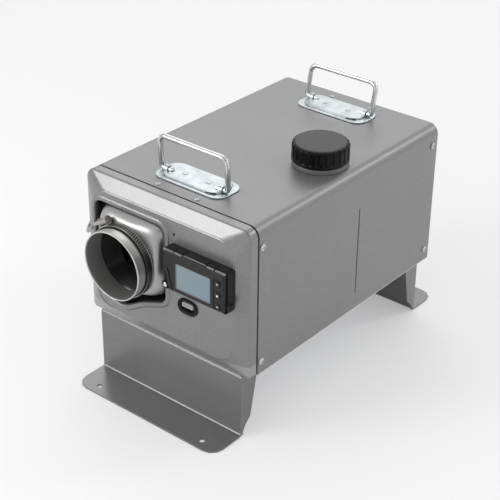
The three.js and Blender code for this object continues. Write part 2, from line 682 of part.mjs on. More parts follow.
/** Clearance hole for a stub under the heater. */
function stubHole(stub, from, to) {
  return alongZ(opening(DUCT_X + stub.offset, STUB_Y, stub.radius + GAP, STUB_STEPS), from, to);
}

/** Bent foot: toe flange, plate, shelf under the case and curved side returns. */
function foot(mirrored) {
  const half = FOOT_WIDTH / 2;
  const middle = FRONT_FOOT_FACE + FOOT_SHEET / 2;
  const toe = FRONT_FOOT_FACE - FOOT_TOE;
  const low = FOOT_SHEET / 2;
  const high = FOOT_HEIGHT - FOOT_SHEET / 2;
  const path = [[toe, low], [middle, low], [middle, high], [FRONT_FOOT_FACE + FOOT_SHELF, high]];
  const profile = bentSheet(path.map(([y, z]) => new THREE.Vector2(y, z)), FOOT_SHEET, FOOT_BEND);
  const side = new THREE.Shape();
  side.moveTo(middle, low);
  side.lineTo(FRONT_FOOT_FACE + FOOT_RETURN.toe, low);
  side.quadraticCurveTo(
    FRONT_FOOT_FACE + FOOT_RETURN.toe,
    FOOT_RETURN.lowAt / 2,
    FRONT_FOOT_FACE + FOOT_RETURN.low,
    FOOT_RETURN.lowAt,
  );
  side.lineTo(FRONT_FOOT_FACE + FOOT_RETURN.top, high);
  side.lineTo(middle, high);
  const plan = rectangle(-half, toe, half, CASE_DEPTH, [FOOT_TOE_CORNER, FOOT_TOE_CORNER, 0, 0]);
  const hole = (x) => post(x, toe + FOOT_HOLE.setback, FOOT_HOLE.radius, -OVERCUT, FOOT_SHEET + OVERCUT);
  const body = join(
    alongX(profile, -half, half),
    alongX(side, half - FOOT_SHEET, half),
    alongX(side, -half, FOOT_SHEET - half),
  )
    .intersect(alongZ(plan, -OVERCUT, CASE_BOTTOM))
    .subtract(hole(FOOT_HOLE.spread / 2))
    .subtract(hole(-FOOT_HOLE.spread / 2));
  if (!mirrored) {
    return body;
  }
  const turned = geometryOf(body).translate(0, -MIDDLE, 0).rotateZ(Math.PI).translate(0, MIDDLE, 0);
  return solid(turned);
}

/** Pan-head screw through the side of the case; side is 1 on the right and -1 on the left. */
function caseScrew(side, y, z) {
  const under = CASE_SIDE + GAP;
  const { radius, height } = SCREW_HEAD;
  const profile = [
    [0, under - SCREW_SHANK.length],
    [SCREW_SHANK.radius, under - SCREW_SHANK.length],
    [SCREW_SHANK.radius, under],
    [radius, under],
    [radius, under + height / 3],
    [radius * 0.6, under + height],
    [0, under + height],
  ];
  const points = profile.map(([r, d]) => new THREE.Vector2(r, d));
  const geometry = new THREE.LatheGeometry(points, HOLE_STEPS).rotateZ((-side * Math.PI) / 2);
  return solid(geometry.translate(0, y, z));
}

// ---- Duct ----

/** Section of the hood's rounded square, inset by a wall. */
function hoodSection(y, wall) {
  return section(
    y,
    HOOD_RIGHT - HOOD.width + wall,
    HOOD_TOP - HOOD.height + wall,
    HOOD_RIGHT - wall,
    HOOD_TOP - wall,
    HOOD.corner - wall,
  );
}

/** Section between two others with as many points, at a share of the way from the first. */
function between(first, second, share, y) {
  return { y, points: first.points.map((point, index) => point.clone().lerp(second.points[index], share)) };
}

/** Closed form of the hood from its rear end, over its domed front, to the shoulder. */
function hoodForm(rear, bend, shoulder, radius, wall) {
  const square = hoodSection(bend, wall);
  const round = ductSection(shoulder, radius, radius, radius);
  const middle = bend + (shoulder - bend) * HOOD.shoulder;
  return loft([hoodSection(rear, wall), square, between(square, round, 1 - HOOD.shoulder, middle), round]);
}

/** Outlet hood: a rounded square that closes to the round neck. */
function outletHood() {
  const wall = TUBE_WALL;
  const inner = SPIGOT_RADIUS - GAP - 2 * wall;
  const neck = SPIGOT_RADIUS - wall - GAP;
  const rear = JACKET.front - GAP;
  const bend = SPIGOT_SEAT + HOOD.dome;
  const front = SPIGOT_SEAT - NECK_LENGTH;
  return hoodForm(rear, bend, SPIGOT_SEAT, SPIGOT_RADIUS, 0)
    .add(barrel(DUCT_X, DUCT_Z, neck, front, SPIGOT_SEAT + wall))
    .subtract(hoodForm(rear + OVERCUT, bend + wall / 2, SPIGOT_SEAT + wall, inner, wall))
    .subtract(barrel(DUCT_X, DUCT_Z, inner, front - OVERCUT, SPIGOT_SEAT + 2 * wall));
}

/** Spigot that the duct is pushed on, with a rolled mouth. */
function ductSpigot() {
  const inner = SPIGOT_RADIUS - TUBE_WALL;
  return turnedAlongY(DUCT_X, DUCT_Z, [
    [inner, SPIGOT_MOUTH],
    [SPIGOT_RADIUS, SPIGOT_MOUTH],
    [SPIGOT_RADIUS + SPIGOT_BEAD, SPIGOT_MOUTH + SPIGOT_BEAD],
    [SPIGOT_RADIUS, SPIGOT_MOUTH + 3 * SPIGOT_BEAD],
    [SPIGOT_RADIUS, SPIGOT_SEAT - GAP],
    [inner, SPIGOT_SEAT - GAP],
    [inner, SPIGOT_MOUTH],
  ]);
}

/** Rubber seal under the clamp band. */
function spigotSeal() {
  return turnedAlongY(DUCT_X, DUCT_Z, wallProfile(SEAL_INNER, SEAL_OUTER, SEAL.front, SEAL.rear));
}

/** Slotted steel band of the worm-drive clamp. */
function clampBand() {
  const middle = BAND_MIDDLE;
  const slot = rectangle(
    -BAND.slotWidth / 2,
    middle - BAND.slotLength / 2,
    BAND.slotWidth / 2,
    middle + BAND.slotLength / 2,
  );
  let band = turnedAlongY(DUCT_X, DUCT_Z, wallProfile(BAND_INNER, BAND_OUTER, BAND.front, BAND.rear));
  const pitch = Math.PI / ROUND_STEPS;
  for (let index = 0; index < BAND.slots; index += 1) {
    const angle = degToRad(CLAMP_ANGLE - 90) - (2 * index + 5) * pitch;
    const cutter = extrusion(slot, 4).translate(0, 0, BAND_INNER - 2).rotateY(angle);
    band = band.subtract(solid(cutter.translate(DUCT_X, 0, DUCT_Z)));
  }
  return band;
}

/** Puts a piece that is drawn across the top of the duct at the clamp's angle. */
function atClamp(geometry) {
  const turn = degToRad(90 - CLAMP_ANGLE);
  return solid(geometry.translate(0, BAND_MIDDLE, 0).rotateY(turn).translate(DUCT_X, 0, DUCT_Z));
}

/** Height of the worm's axis over the duct's axis. */
function wormHeight() {
  return BAND_OUTER + GAP + WORM.wall + GAP + WORM.radius;
}

/** Bent housing over the worm, open at both ends. */
function clampHousing() {
  const half = (BAND.rear - BAND.front) / 2;
  const outer = WORM.radius + GAP + WORM.wall;
  const base = BAND_OUTER + GAP + 0.4;
  const profile = new THREE.Shape();
  profile.moveTo(-half, base);
  profile.lineTo(half, base);
  profile.lineTo(half, base + 1);
  profile.lineTo(outer, wormHeight());
  profile.absarc(0, wormHeight(), outer, 0, Math.PI, false);
  profile.lineTo(-half, base + 1);
  const body = extrusion(profile, WORM.length).rotateY(Math.PI / 2).rotateX(Math.PI / 2);
  const bore = extrusion(opening(0, wormHeight(), WORM.radius + GAP), WORM.length + 2 * OVERCUT);
  bore.translate(0, 0, -OVERCUT).rotateY(Math.PI / 2).rotateX(Math.PI / 2);
  const shift = -WORM.length / 2;
  const band = barrel(DUCT_X, DUCT_Z, BAND_OUTER + GAP, BAND.front - OVERCUT, BAND.rear + OVERCUT);
  return atClamp(body.translate(shift, 0, 0)).subtract(atClamp(bore.translate(shift, 0, 0))).subtract(band);
}

/** Worm screw with its wing, along -X before it is turned to the clamp's angle. */
function clampScrew() {
  const half = WORM.length / 2;
  const profile = [
    [0, -half],
    [WORM.radius, -half],
    [WORM.radius, half],
    [WORM.neck, half + 0.5],
    [WORM.neck, WING.start + 2],
    [0, WING.start + 2],
  ];
  const points = profile.map(([radius, place]) => new THREE.Vector2(radius, place));
  const screw = new THREE.LatheGeometry(points, SMALL_STEPS).rotateZ(Math.PI / 2);
  const wing = new THREE.Shape();
  const reach = WING.end - WING.start;
  wing.moveTo(-WING.start, -WING.inner);
  wing.quadraticCurveTo(-WING.start - reach / 3, -WING.inner, -WING.start - reach / 2, -WING.outer);
  wing.quadraticCurveTo(-WING.end, -WING.outer, -WING.end, -WING.outer / 2);
  wing.quadraticCurveTo(-WING.end + 2, 0, -WING.end, WING.outer / 2);
  wing.quadraticCurveTo(-WING.end, WING.outer, -WING.start - reach / 2, WING.outer);
  wing.quadraticCurveTo(-WING.start - reach / 3, WING.inner, -WING.start, WING.inner);
  const blade = extrusion(wing, WING.thickness).translate(0, 0, -WING.thickness / 2).rotateX(WING_TURN);
  return atClamp(screw.translate(0, 0, wormHeight())).add(atClamp(blade.translate(0, 0, wormHeight())));
}

// ---- Air heater ----

/** Whole jacket, before it is split into its two shells. */
function jacketForm(wall, extra) {
  const half = JACKET.half - wall;
  const front = JACKET.front - extra;
  return loft([
    hoodSection(front, wall),
    ductSection(JACKET.flareEnd, half, half, JACKET.corner - wall),
    ductSection(JACKET_REAR + extra, half, half, JACKET.corner - wall),
  ]);
}

/** Upper or lower shell of the heater's jacket. */
function jacketShell(upper) {
  const outer = JACKET.half + OVERCUT;
  const split = GAP / 2;
  const top = upper ? DUCT_Z + outer : DUCT_Z - split;
  const bottom = upper ? DUCT_Z + split : DUCT_Z - outer;
  const half = rectangle(DUCT_X - outer, bottom, DUCT_X + outer, top);
  const shell = jacketForm(0, 0).subtract(jacketForm(JACKET.wall, OVERCUT));
  const kept = shell.intersect(alongY(half, JACKET.front - OVERCUT, JACKET_REAR + OVERCUT));
  const base = rectangle(
    DUCT_X - BURNER.base - GAP,
    STUB_Y - BURNER.baseLength / 2 - GAP,
    DUCT_X + BURNER.base + GAP,
    STUB_Y + BURNER.baseLength / 2 + GAP,
  );
  return kept.subtract(alongZ(base, SEAT, DUCT_Z - BURNER.radius));
}

/** Hat-shaped bracket that carries the jacket over the pump. */
function heaterCradle() {
  const low = SEAT + PLATE_SHEET / 2;
  const high = DUCT_Z - JACKET.half - GAP - PLATE_SHEET / 2;
  const half = CRADLE.halfWidth;
  const wide = half + CRADLE.foot;
  const path = [[-wide, low], [-half, low], [-half, high], [half, high], [half, low], [wide, low]];
  const middle = path.map(([x, z]) => new THREE.Vector2(DUCT_X + x, z));
  return alongY(bentSheet(middle, PLATE_SHEET, CRADLE.bend), CRADLE.front, CRADLE_REAR);
}

/** Finned heat exchanger: a domed core with long fins and a rear flange. */
function heatExchanger() {
  const { front, core, wall, fins, finTip, finThickness } = EXCHANGER;
  const rear = EXCHANGER_REAR;
  const points = [];
  for (let fin = 0; fin < fins; fin += 1) {
    const angle = (2 * Math.PI * fin) / fins;
    const root = core - wall / 2;
    for (const [radius, side] of [[root, -1], [finTip, -FIN_TAPER], [finTip, FIN_TAPER], [root, 1]]) {
      const turn = angle + (side * finThickness) / 2 / radius;
      points.push(new THREE.Vector2(DUCT_X + radius * Math.cos(turn), DUCT_Z + radius * Math.sin(turn)));
    }
  }
  const finned = alongY(new THREE.Shape(points), front + EXCHANGER_END, rear - EXCHANGER_END / 2);
  const outside = turnedAlongY(DUCT_X, DUCT_Z, [
    [0, front],
    [core * 0.55, front + 2],
    [core * 0.88, front + EXCHANGER_END],
    [core, front + 2 * EXCHANGER_END],
    [core, rear - EXCHANGER_END],
    [finTip - 3, rear - EXCHANGER_END],
    [finTip - 3, rear],
    [0, rear],
  ]);
  const bore = turnedAlongY(DUCT_X, DUCT_Z, [
    [0, front + wall],
    [core * 0.6, front + wall + 4],
    [core - wall, front + 2 * EXCHANGER_END],
    [core - wall, rear + OVERCUT],
    [0, rear + OVERCUT],
  ]);
  return outside.add(finned).subtract(bore);
}

/** Burner tube with its rear plate, open at the front. */
function combustionChamber() {
  const rear = EXCHANGER_REAR;
  const inner = CHAMBER.radius - CHAMBER.wall;
  return turnedAlongY(DUCT_X, DUCT_Z, [
    [0, rear - CHAMBER.plate],
    [inner, rear - CHAMBER.plate],
    [inner, CHAMBER_FRONT],
    [CHAMBER.radius, CHAMBER_FRONT],
    [CHAMBER.radius, rear - CHAMBER.plate],
    [CHAMBER.flange, rear - CHAMBER.plate],
    [CHAMBER.flange, rear],
    [0, rear],
  ], STUB_STEPS);
}

/** Glow plug inside the burner tube. */
function glowPlug() {
  const rear = EXCHANGER_REAR - CHAMBER.plate - GAP;
  const { radius, length, offset } = GLOW_PLUG;
  return turnedAlongY(DUCT_X + offset, DUCT_Z + offset, [
    [0, rear - length],
    [radius * 0.6, rear - length + 1.5],
    [radius * 0.6, rear - length / 2],
    [radius, rear - length / 2],
    [radius, rear],
    [0, rear],
  ], SMALL_STEPS);
}

/** Burner housing with its blower chamber and its base for exhaust and air. */
function burnerHousing() {
  const { radius, cavity, cavityDepth, base, baseLength } = BURNER;
  const seat = SEAT + GASKET + GAP;
  const foundation = rectangle(
    DUCT_X - base,
    STUB_Y - baseLength / 2,
    DUCT_X + base,
    STUB_Y + baseLength / 2,
    BURNER_CORNER,
  );
  const cavityFront = BURNER_REAR - cavityDepth;
  const stubSeat = (stub) => stubHole(stub, seat - OVERCUT, seat + STUB_INSERT + GAP);
  const exhaustX = DUCT_X + EXHAUST.offset;
  const exhaustY = STUB_Y + BURNER_PASSAGES.exhaustAside;
  const exhaustTop = DUCT_Z - BURNER_PASSAGES.exhaustDrop;
  const airY = STUB_Y + BURNER_PASSAGES.airAside;
  const bore = EXHAUST.passage / 2;
  return barrel(DUCT_X, DUCT_Z, radius, BURNER_FRONT, BURNER_REAR)
    .add(alongZ(foundation, seat, DUCT_Z - radius / 2))
    .subtract(barrel(DUCT_X, DUCT_Z, cavity, cavityFront, BURNER_REAR + OVERCUT))
    .subtract(stubSeat(EXHAUST))
    .subtract(stubSeat(INTAKE))
    .subtract(post(exhaustX, exhaustY, bore, seat, exhaustTop))
    .subtract(barrel(exhaustX, exhaustTop, bore, BURNER_FRONT - OVERCUT, exhaustY, SMALL_STEPS))
    .subtract(post(DUCT_X + INTAKE.offset, airY, INTAKE.passage, seat, DUCT_Z - cavity / 2));
}

/** Gasket between burner base and tray. */
function mountGasket() {
  const outline = rectangle(
    DUCT_X - BURNER.base - GASKET_MARGIN,
    STUB_Y - BURNER.baseLength / 2 - GASKET_MARGIN,
    DUCT_X + BURNER.base + GASKET_MARGIN,
    STUB_Y + BURNER.baseLength / 2 + GASKET_MARGIN,
    BURNER_CORNER + GASKET_MARGIN,
  );
  return alongZ(outline, SEAT, SEAT + GASKET)
    .subtract(stubHole(EXHAUST, SEAT - OVERCUT, SEAT + GASKET + OVERCUT))
    .subtract(stubHole(INTAKE, SEAT - OVERCUT, SEAT + GASKET + OVERCUT));
}

/** Pipe stub under the case, with a bead that holds the hose. */
function pipeStub(stub) {
  const top = SEAT + GASKET + GAP + STUB_INSERT;
  const inner = stub.radius - TUBE_WALL;
  const bead = stub.radius + 0.8;
  const bottom = CASE_BOTTOM - stub.drop;
  return turnedAlongZ(DUCT_X + stub.offset, STUB_Y, [
    [inner, bottom],
    [stub.radius, bottom],
    [stub.radius, bottom + 3],
    [bead, bottom + 4.5],
    [stub.radius, bottom + 6],
    [stub.radius, top],
    [inner, top],
    [inner, bottom],
  ], STUB_STEPS);
}

/** Fan motor on its plate, bored for the shaft. */
function fanMotor() {
  const bore = SHAFT.radius + SHAFT.play;
  return turnedAlongY(DUCT_X, DUCT_Z, [
    [bore, MOTOR_FRONT],
    [MOTOR.plateRadius, MOTOR_FRONT],
    [MOTOR.plateRadius, MOTOR_FRONT + MOTOR.plate],
    [MOTOR.radius, MOTOR_FRONT + MOTOR.plate],
    [MOTOR.radius, MOTOR_REAR - 3],
    [MOTOR.radius - 3, MOTOR_REAR],
    [bore, MOTOR_REAR],
    [bore, MOTOR_FRONT],
  ], STUB_STEPS);
}

/** Shaft through the motor that carries both wheels. */
function motorShaft() {
  const front = BURNER_REAR - BURNER.cavityDepth + 3;
  return turnedAlongY(DUCT_X, DUCT_Z, [
    [0, front],
    [SHAFT.radius, front],
    [SHAFT.radius, FAN_REAR + 3],
    [0, FAN_REAR + 3],
  ], SMALL_STEPS);
}

/** Combustion blower wheel: a disc with curved vanes. */
function combustionImpeller() {
  const front = BURNER_REAR - BURNER.cavityDepth + 3;
  const rear = front + BLOWER.width;
  const bore = SHAFT.radius + GAP;
  let wheel = turnedAlongY(DUCT_X, DUCT_Z, [
    [bore, front],
    [BLOWER.hub, front],
    [BLOWER.hub, rear - BLOWER.disc],
    [BLOWER.radius, rear - BLOWER.disc],
    [BLOWER.radius, rear],
    [bore, rear],
    [bore, front],
  ], STUB_STEPS);
  for (let index = 0; index < BLOWER.blades; index += 1) {
    const turn = (2 * Math.PI * index) / BLOWER.blades;
    const vane = curvedVane(BLOWER.hub - 1, BLOWER.radius - 0.5, BLOWER.thickness, 0.7, turn);
    wheel = wheel.add(alongY(vane, front, rear - BLOWER.disc / 2));
  }
  return wheel;
}

/** Outline of a vane that curves back by a sweep angle between two radii. */
function curvedVane(inner, outer, thickness, sweep, turn) {
  const steps = 3;
  const front = [];
  const back = [];
  for (let step = 0; step <= steps; step += 1) {
    const share = step / steps;
    const radius = inner + (outer - inner) * share;
    const angle = turn + sweep * share * share;
    const half = thickness / 2 / radius;
    front.push([radius, angle + half]);
    back.push([radius, angle - half]);
  }
  return new THREE.Shape([...back, ...front.reverse()].map(([radius, angle]) => new THREE.Vector2(
    DUCT_X + radius * Math.cos(angle),
    DUCT_Z + radius * Math.sin(angle),
  )));
}

/** Twisted blade of the air fan, lofted outwards through pitched sections. */
function fanBlade(turn) {
  const { hub, radius, width, thickness, sweep } = FAN;
  const stations = 3;
  const rings = [];
  for (let station = 0; station <= stations; station += 1) {
    const share = station / stations;
    const distance = hub - 2 + (radius - hub + 2) * share;
    const pitch = degToRad(FAN_PITCH.root - FAN_PITCH.twist * share);
    const chord = (width - FAN_PITCH.inset) / 2 / Math.sin(degToRad(FAN_PITCH.root));
    const lag = degToRad(sweep * share * share);
    const ring = [];
    for (const [along, across] of BLADE_SECTION) {
      const run = along * chord;
      const depth = run * Math.sin(pitch) - (across * thickness * Math.cos(pitch)) / 2;
      const aside = run * Math.cos(pitch) + (across * thickness * Math.sin(pitch)) / 2;
      const angle = turn + lag + aside / distance;
      const middle = (FAN_FRONT + FAN_REAR) / 2;
      ring.push(new THREE.Vector3(
        DUCT_X + distance * Math.cos(angle),
        middle + depth,
        DUCT_Z + distance * Math.sin(angle),
      ));
    }
    rings.push(ring);
  }
  return solid(skin(rings));
}

/** Air fan: hub and twisted blades. */
function fanImpeller() {
  const bore = SHAFT.radius + GAP;
  let fan = turnedAlongY(DUCT_X, DUCT_Z, [
    [bore, FAN_FRONT],
    [FAN.hub, FAN_FRONT],
    [FAN.hub, FAN_REAR - FAN_NOSE.length],
    [FAN.hub - FAN_NOSE.chamfer, FAN_REAR],
    [bore, FAN_REAR],
    [bore, FAN_FRONT],
  ], STUB_STEPS);
  for (let index = 0; index < FAN.blades; index += 1) {
    fan = fan.add(fanBlade((2 * Math.PI * index) / FAN.blades));
  }
  return fan;
}

/** Control board under the roof of the upper shell, with its cooling block. */
function controlBoard() {
  const top = DUCT_Z + JACKET.half - JACKET.wall - GAP;
  const from = MOTOR_FRONT;
  const half = BOARD.width / 2;
  const outline = rectangle(DUCT_X - half, from, DUCT_X + half, from + BOARD.length, 2);
  const card = alongZ(outline, top - BOARD.height, top);
  let ribbed = card;
  for (let rib = 0; rib < 5; rib += 1) {
    const x = DUCT_X - half + 4 + rib * 7;
    const groove = rectangle(x, from - OVERCUT, x + 3, from + BOARD.length + OVERCUT);
    ribbed = ribbed.subtract(alongZ(groove, top - BOARD.height - OVERCUT, top - BOARD.height / 2));
  }
  return ribbed;
}

// ---- Fuel ----

/** Rounded block between two corners. */
function roundedBlock(low, high, radius) {
  const outline = rectangle(low.x + radius, low.y + radius, high.x - radius, high.y - radius, 0.5);
  const bevel = { bevelEnabled: true, bevelThickness: radius, bevelSize: radius, bevelSegments: 2 };
  const geometry = extrusion(outline, high.z - low.z - 2 * radius, bevel);
  return solid(geometry.translate(0, 0, low.z + radius));
}

/** Blow-moulded tank with its filler neck and fuel outlet. */
function fuelTank() {
  const low = new THREE.Vector3(TANK_LEFT, TANK.front, SEAT);
  const high = new THREE.Vector3(TANK_RIGHT, TANK_REAR, TANK_TOP);
  const wall = new THREE.Vector3(TANK.wall, TANK.wall, TANK.wall);
  const hollow = roundedBlock(low.clone().add(wall), high.clone().sub(wall), TANK.corner - TANK.wall);
  const boreBottom = TANK_TOP - 2 * TANK.wall;
  const outletFront = TANK.front - NIPPLE.length;
  const outletRear = TANK.front + TANK.wall + OVERCUT;
  return roundedBlock(low, high, TANK.corner)
    .add(post(FILLER_X, FILLER.y, FILLER.radius, TANK_TOP - TANK.wall / 2, NECK_TOP, ROUND_STEPS))
    .add(barrel(OUTLET_X, LINE_Z, NIPPLE.radius, outletFront, outletRear, HOSE.sides))
    .subtract(hollow)
    .subtract(post(FILLER_X, FILLER.y, FILLER.bore, boreBottom, NECK_TOP + OVERCUT, ROUND_STEPS))
    .subtract(barrel(OUTLET_X, LINE_Z, NIPPLE.bore, outletFront - OVERCUT, outletRear + OVERCUT, HOSE.sides));
}

/** Collar that lies on the case round the filler neck. */
function fillerCollar() {
  const bottom = CASE_TOP + GAP;
  return turnedAlongZ(FILLER_X, FILLER.y, [
    [FILLER.radius + GAP, bottom],
    [COLLAR.radius, bottom],
    [COLLAR.radius, COLLAR_TOP - COLLAR.chamfer],
    [COLLAR.radius - COLLAR.chamfer, COLLAR_TOP],
    [FILLER.radius + GAP, COLLAR_TOP],
    [FILLER.radius + GAP, bottom],
  ]);
}

/** Screw cap with a fluted skirt and a chamfered top. */
function fuelCap() {
  const bore = FILLER.radius + CAP_SEAL.play;
  const body = turnedAlongZ(FILLER_X, FILLER.y, [
    [bore, CAP_BOTTOM],
    [CAP.radius, CAP_BOTTOM],
    [CAP.radius, CAP_TOP - CAP.chamfer],
    [CAP.disc, CAP_TOP],
    [0, CAP_TOP],
    [0, CAP_ROOF],
    [bore, CAP_ROOF],
    [bore, CAP_BOTTOM],
  ], CAP.flutes);
  const points = [];
  for (let flute = 0; flute < CAP.flutes; flute += 1) {
    for (const [share, depth] of [[0, 0], [0.55, 0], [0.75, CAP.flute]]) {
      const angle = (2 * Math.PI * (flute + share)) / CAP.flutes;
      const radius = CAP.radius - depth;
      points.push(new THREE.Vector2(radius * Math.cos(angle), radius * Math.sin(angle)));
    }
  }
  const fluted = alongZ(new THREE.Shape(points), CAP_BOTTOM - OVERCUT, CAP_TOP + OVERCUT);
  return body.intersect(fluted.translate([FILLER_X, FILLER.y, 0]));
}

/** Sealing disc between cap and neck. */
function capSeal() {
  const top = CAP_ROOF - GAP;
  return post(FILLER_X, FILLER.y, FILLER.radius, NECK_TOP + GAP, top, ROUND_STEPS);
}

/** Fuel filter in line, lying on the tray, with a nipple at each end. */
function fuelFilter() {
  const { radius, y } = FILTER;
  const left = FILTER_LEFT;
  const right = FILTER_RIGHT;
  const points = [
    [0, left - NIPPLE.length],
    [NIPPLE.radius, left - NIPPLE.length],
    [NIPPLE.radius, left],
    [radius, left + 3],
    [radius, right - 3],
    [NIPPLE.radius, right],
    [NIPPLE.radius, right + NIPPLE.length],
    [0, right + NIPPLE.length],
  ].map(([r, x]) => new THREE.Vector2(r, x));
  return solid(new THREE.LatheGeometry(points, SMALL_STEPS).rotateZ(-Math.PI / 2).translate(0, y, LINE_Z));
}

/** Metering pump with its coil and two nipples. */
function fuelPump() {
  const { radius, front, coil } = PUMP;
  const rear = PUMP_REAR;
  const narrow = radius - coil;
  const { fromFront, fromRear, shoulder, taper } = PUMP_COIL;
  return turnedAlongY(DUCT_X, PUMP_Z, [
    [0, front - NIPPLE.length],
    [NIPPLE.radius, front - NIPPLE.length],
    [NIPPLE.radius, front],
    [narrow - taper, front],
    [narrow, front + fromFront - shoulder],
    [radius, front + fromFront],
    [radius, rear - fromRear],
    [narrow, rear - fromRear + shoulder],
    [narrow - taper, rear],
    [NIPPLE.radius, rear],
    [NIPPLE.radius, rear + NIPPLE.length],
    [0, rear + NIPPLE.length],
  ], STUB_STEPS);
}

/** Clip that holds the pump on the tray. */
function pumpClip() {
  const inner = PUMP.radius + GAP;
  const outer = inner + PUMP_CLIP.wall;
  const rear = PUMP_CLIP.front + PUMP_CLIP.length;
  const half = PUMP_CLIP.foot / 2;
  const foot = rectangle(DUCT_X - half, SEAT, DUCT_X + half, PUMP_Z - PUMP.radius / 2);
  return barrel(DUCT_X, PUMP_Z, outer, PUMP_CLIP.front, rear, STUB_STEPS)
    .add(alongY(foot, PUMP_CLIP.front, rear))
    .subtract(alongY(
      opening(DUCT_X, PUMP_Z, inner, STUB_STEPS),
      PUMP_CLIP.front - OVERCUT,
      rear + OVERCUT,
    ));
}

/** Cutter for a nipple in a hose's end along the depth. */
function gripAlongY(x, z, from, to) {
  return alongY(opening(x, z, NIPPLE.radius + GAP / 2, HOSE.sides), from, to);
}

/** Cutter for a nipple in a hose's end across the width. */
function gripAlongX(y, z, from, to) {
  return alongX(opening(y, z, NIPPLE.radius + GAP / 2, HOSE.sides), from, to);
}

/** Hose pushed over the nipples at both ends of a curve. */
function hose(curve, cutters) {
  const tube = rod(curve, HOSE.radius, curve.isLineCurve3 ? 1 : HOSE.steps, HOSE.sides);
  return cutters.reduce((body, cutter) => body.subtract(cutter), tube);
}

/** Hose from the tank's outlet to the filter. */
function tankHose() {
  const start = TANK.front - GAP;
  const end = FILTER_RIGHT + GAP;
  const curve = new THREE.CurvePath();
  const corner = new THREE.Vector3(OUTLET_X, FILTER.y, LINE_Z);
  const before = new THREE.Vector3(OUTLET_X, start, LINE_Z);
  const after = new THREE.Vector3(end, FILTER.y, LINE_Z);
  curve.add(new THREE.QuadraticBezierCurve3(before, corner, after));
  return hose(curve, [
    gripAlongY(OUTLET_X, LINE_Z, TANK.front - NIPPLE.length - GAP, TANK.front + OVERCUT),
    gripAlongX(FILTER.y, LINE_Z, FILTER_RIGHT - OVERCUT, FILTER_RIGHT + NIPPLE.length + GAP),
  ]);
}

/** Hose from the filter to the metering pump. */
function pumpHose() {
  const curve = new THREE.CatmullRomCurve3([
    new THREE.Vector3(FILTER_LEFT - GAP, FILTER.y, LINE_Z),
    new THREE.Vector3(FILTER_LEFT - HOSE_LEAD.filter, FILTER.y, LINE_Z),
    new THREE.Vector3(DUCT_X + HOSE_BEND.aside, FILTER.y + HOSE_BEND.shift, LINE_Z + HOSE_BEND.shift),
    new THREE.Vector3(DUCT_X + HOSE_BEND.shift, PUMP.front - HOSE_BEND.forward, PUMP_Z),
    new THREE.Vector3(DUCT_X, PUMP.front - HOSE_LEAD.pump, PUMP_Z),
    new THREE.Vector3(DUCT_X, PUMP.front - GAP, PUMP_Z),
  ]);
  return hose(curve, [
    gripAlongX(FILTER.y, LINE_Z, FILTER_LEFT - NIPPLE.length - GAP, FILTER_LEFT + OVERCUT),
    gripAlongY(DUCT_X, PUMP_Z, PUMP.front - NIPPLE.length - GAP, PUMP.front + OVERCUT),
  ]);
}

/** Hose from the metering pump to the burner's base. */
function burnerHose() {
  const from = new THREE.Vector3(DUCT_X, PUMP_REAR + GAP, PUMP_Z);
  const to = new THREE.Vector3(DUCT_X, STUB_Y - BURNER.baseLength / 2 - GAP, PUMP_Z);
  return hose(new THREE.LineCurve3(from, to), [
    gripAlongY(DUCT_X, PUMP_Z, PUMP_REAR - OVERCUT, PUMP_REAR + NIPPLE.length + GAP),
  ]);
}

// ---- Controller ----

/** Bracket that is screwed to the front panel: a tray with two ears and open cable side. */
function controllerBracket() {
  const [left, right, bottom, top] = [CONTROLLER_LEFT, CONTROLLER_RIGHT, CONTROLLER_BOTTOM, CONTROLLER_TOP];
  const { margin, wall, lip, corner, ear, earThickness } = BRACKET;
  const outer = rectangle(left - margin, bottom - margin, right + margin, top + margin, corner);
  const room = margin - wall;
  const inner = rectangle(left - room, bottom - room, right + room, top + room, corner - wall);
  const earShape = (x, z) => alongY(disc(x, z, ear, EAR_STEPS), BRACKET_REAR - earThickness, BRACKET_REAR);
  const { radius, outwards, steps } = BRACKET_HOLE;
  const holeFront = BRACKET_REAR - earThickness - OVERCUT;
  const hole = (x, z) => barrel(x, z, radius, holeFront, BRACKET_REAR + OVERCUT, steps);
  const leftEar = [left - margin, bottom + margin];
  const rightEar = [right + margin, bottom + 3 * margin];
  const { aside, above } = BRACKET_WINDOW;
  const window = rectangle(left + aside, bottom + above, right - aside, top - above, corner);
  return alongY(outer, BRACKET_FRONT - lip, BRACKET_REAR)
    .subtract(alongY(inner, BRACKET_FRONT - lip - OVERCUT, BRACKET_FRONT))
    .add(earShape(...leftEar).subtract(alongY(inner, BRACKET_FRONT - lip, BRACKET_FRONT)))
    .add(earShape(...rightEar).subtract(alongY(inner, BRACKET_FRONT - lip, BRACKET_FRONT)))
    .subtract(hole(leftEar[0] - outwards, leftEar[1]))
    .subtract(hole(rightEar[0] + outwards, rightEar[1]))
    .subtract(alongY(window, BRACKET_FRONT - OVERCUT, BRACKET_REAR + OVERCUT));
}

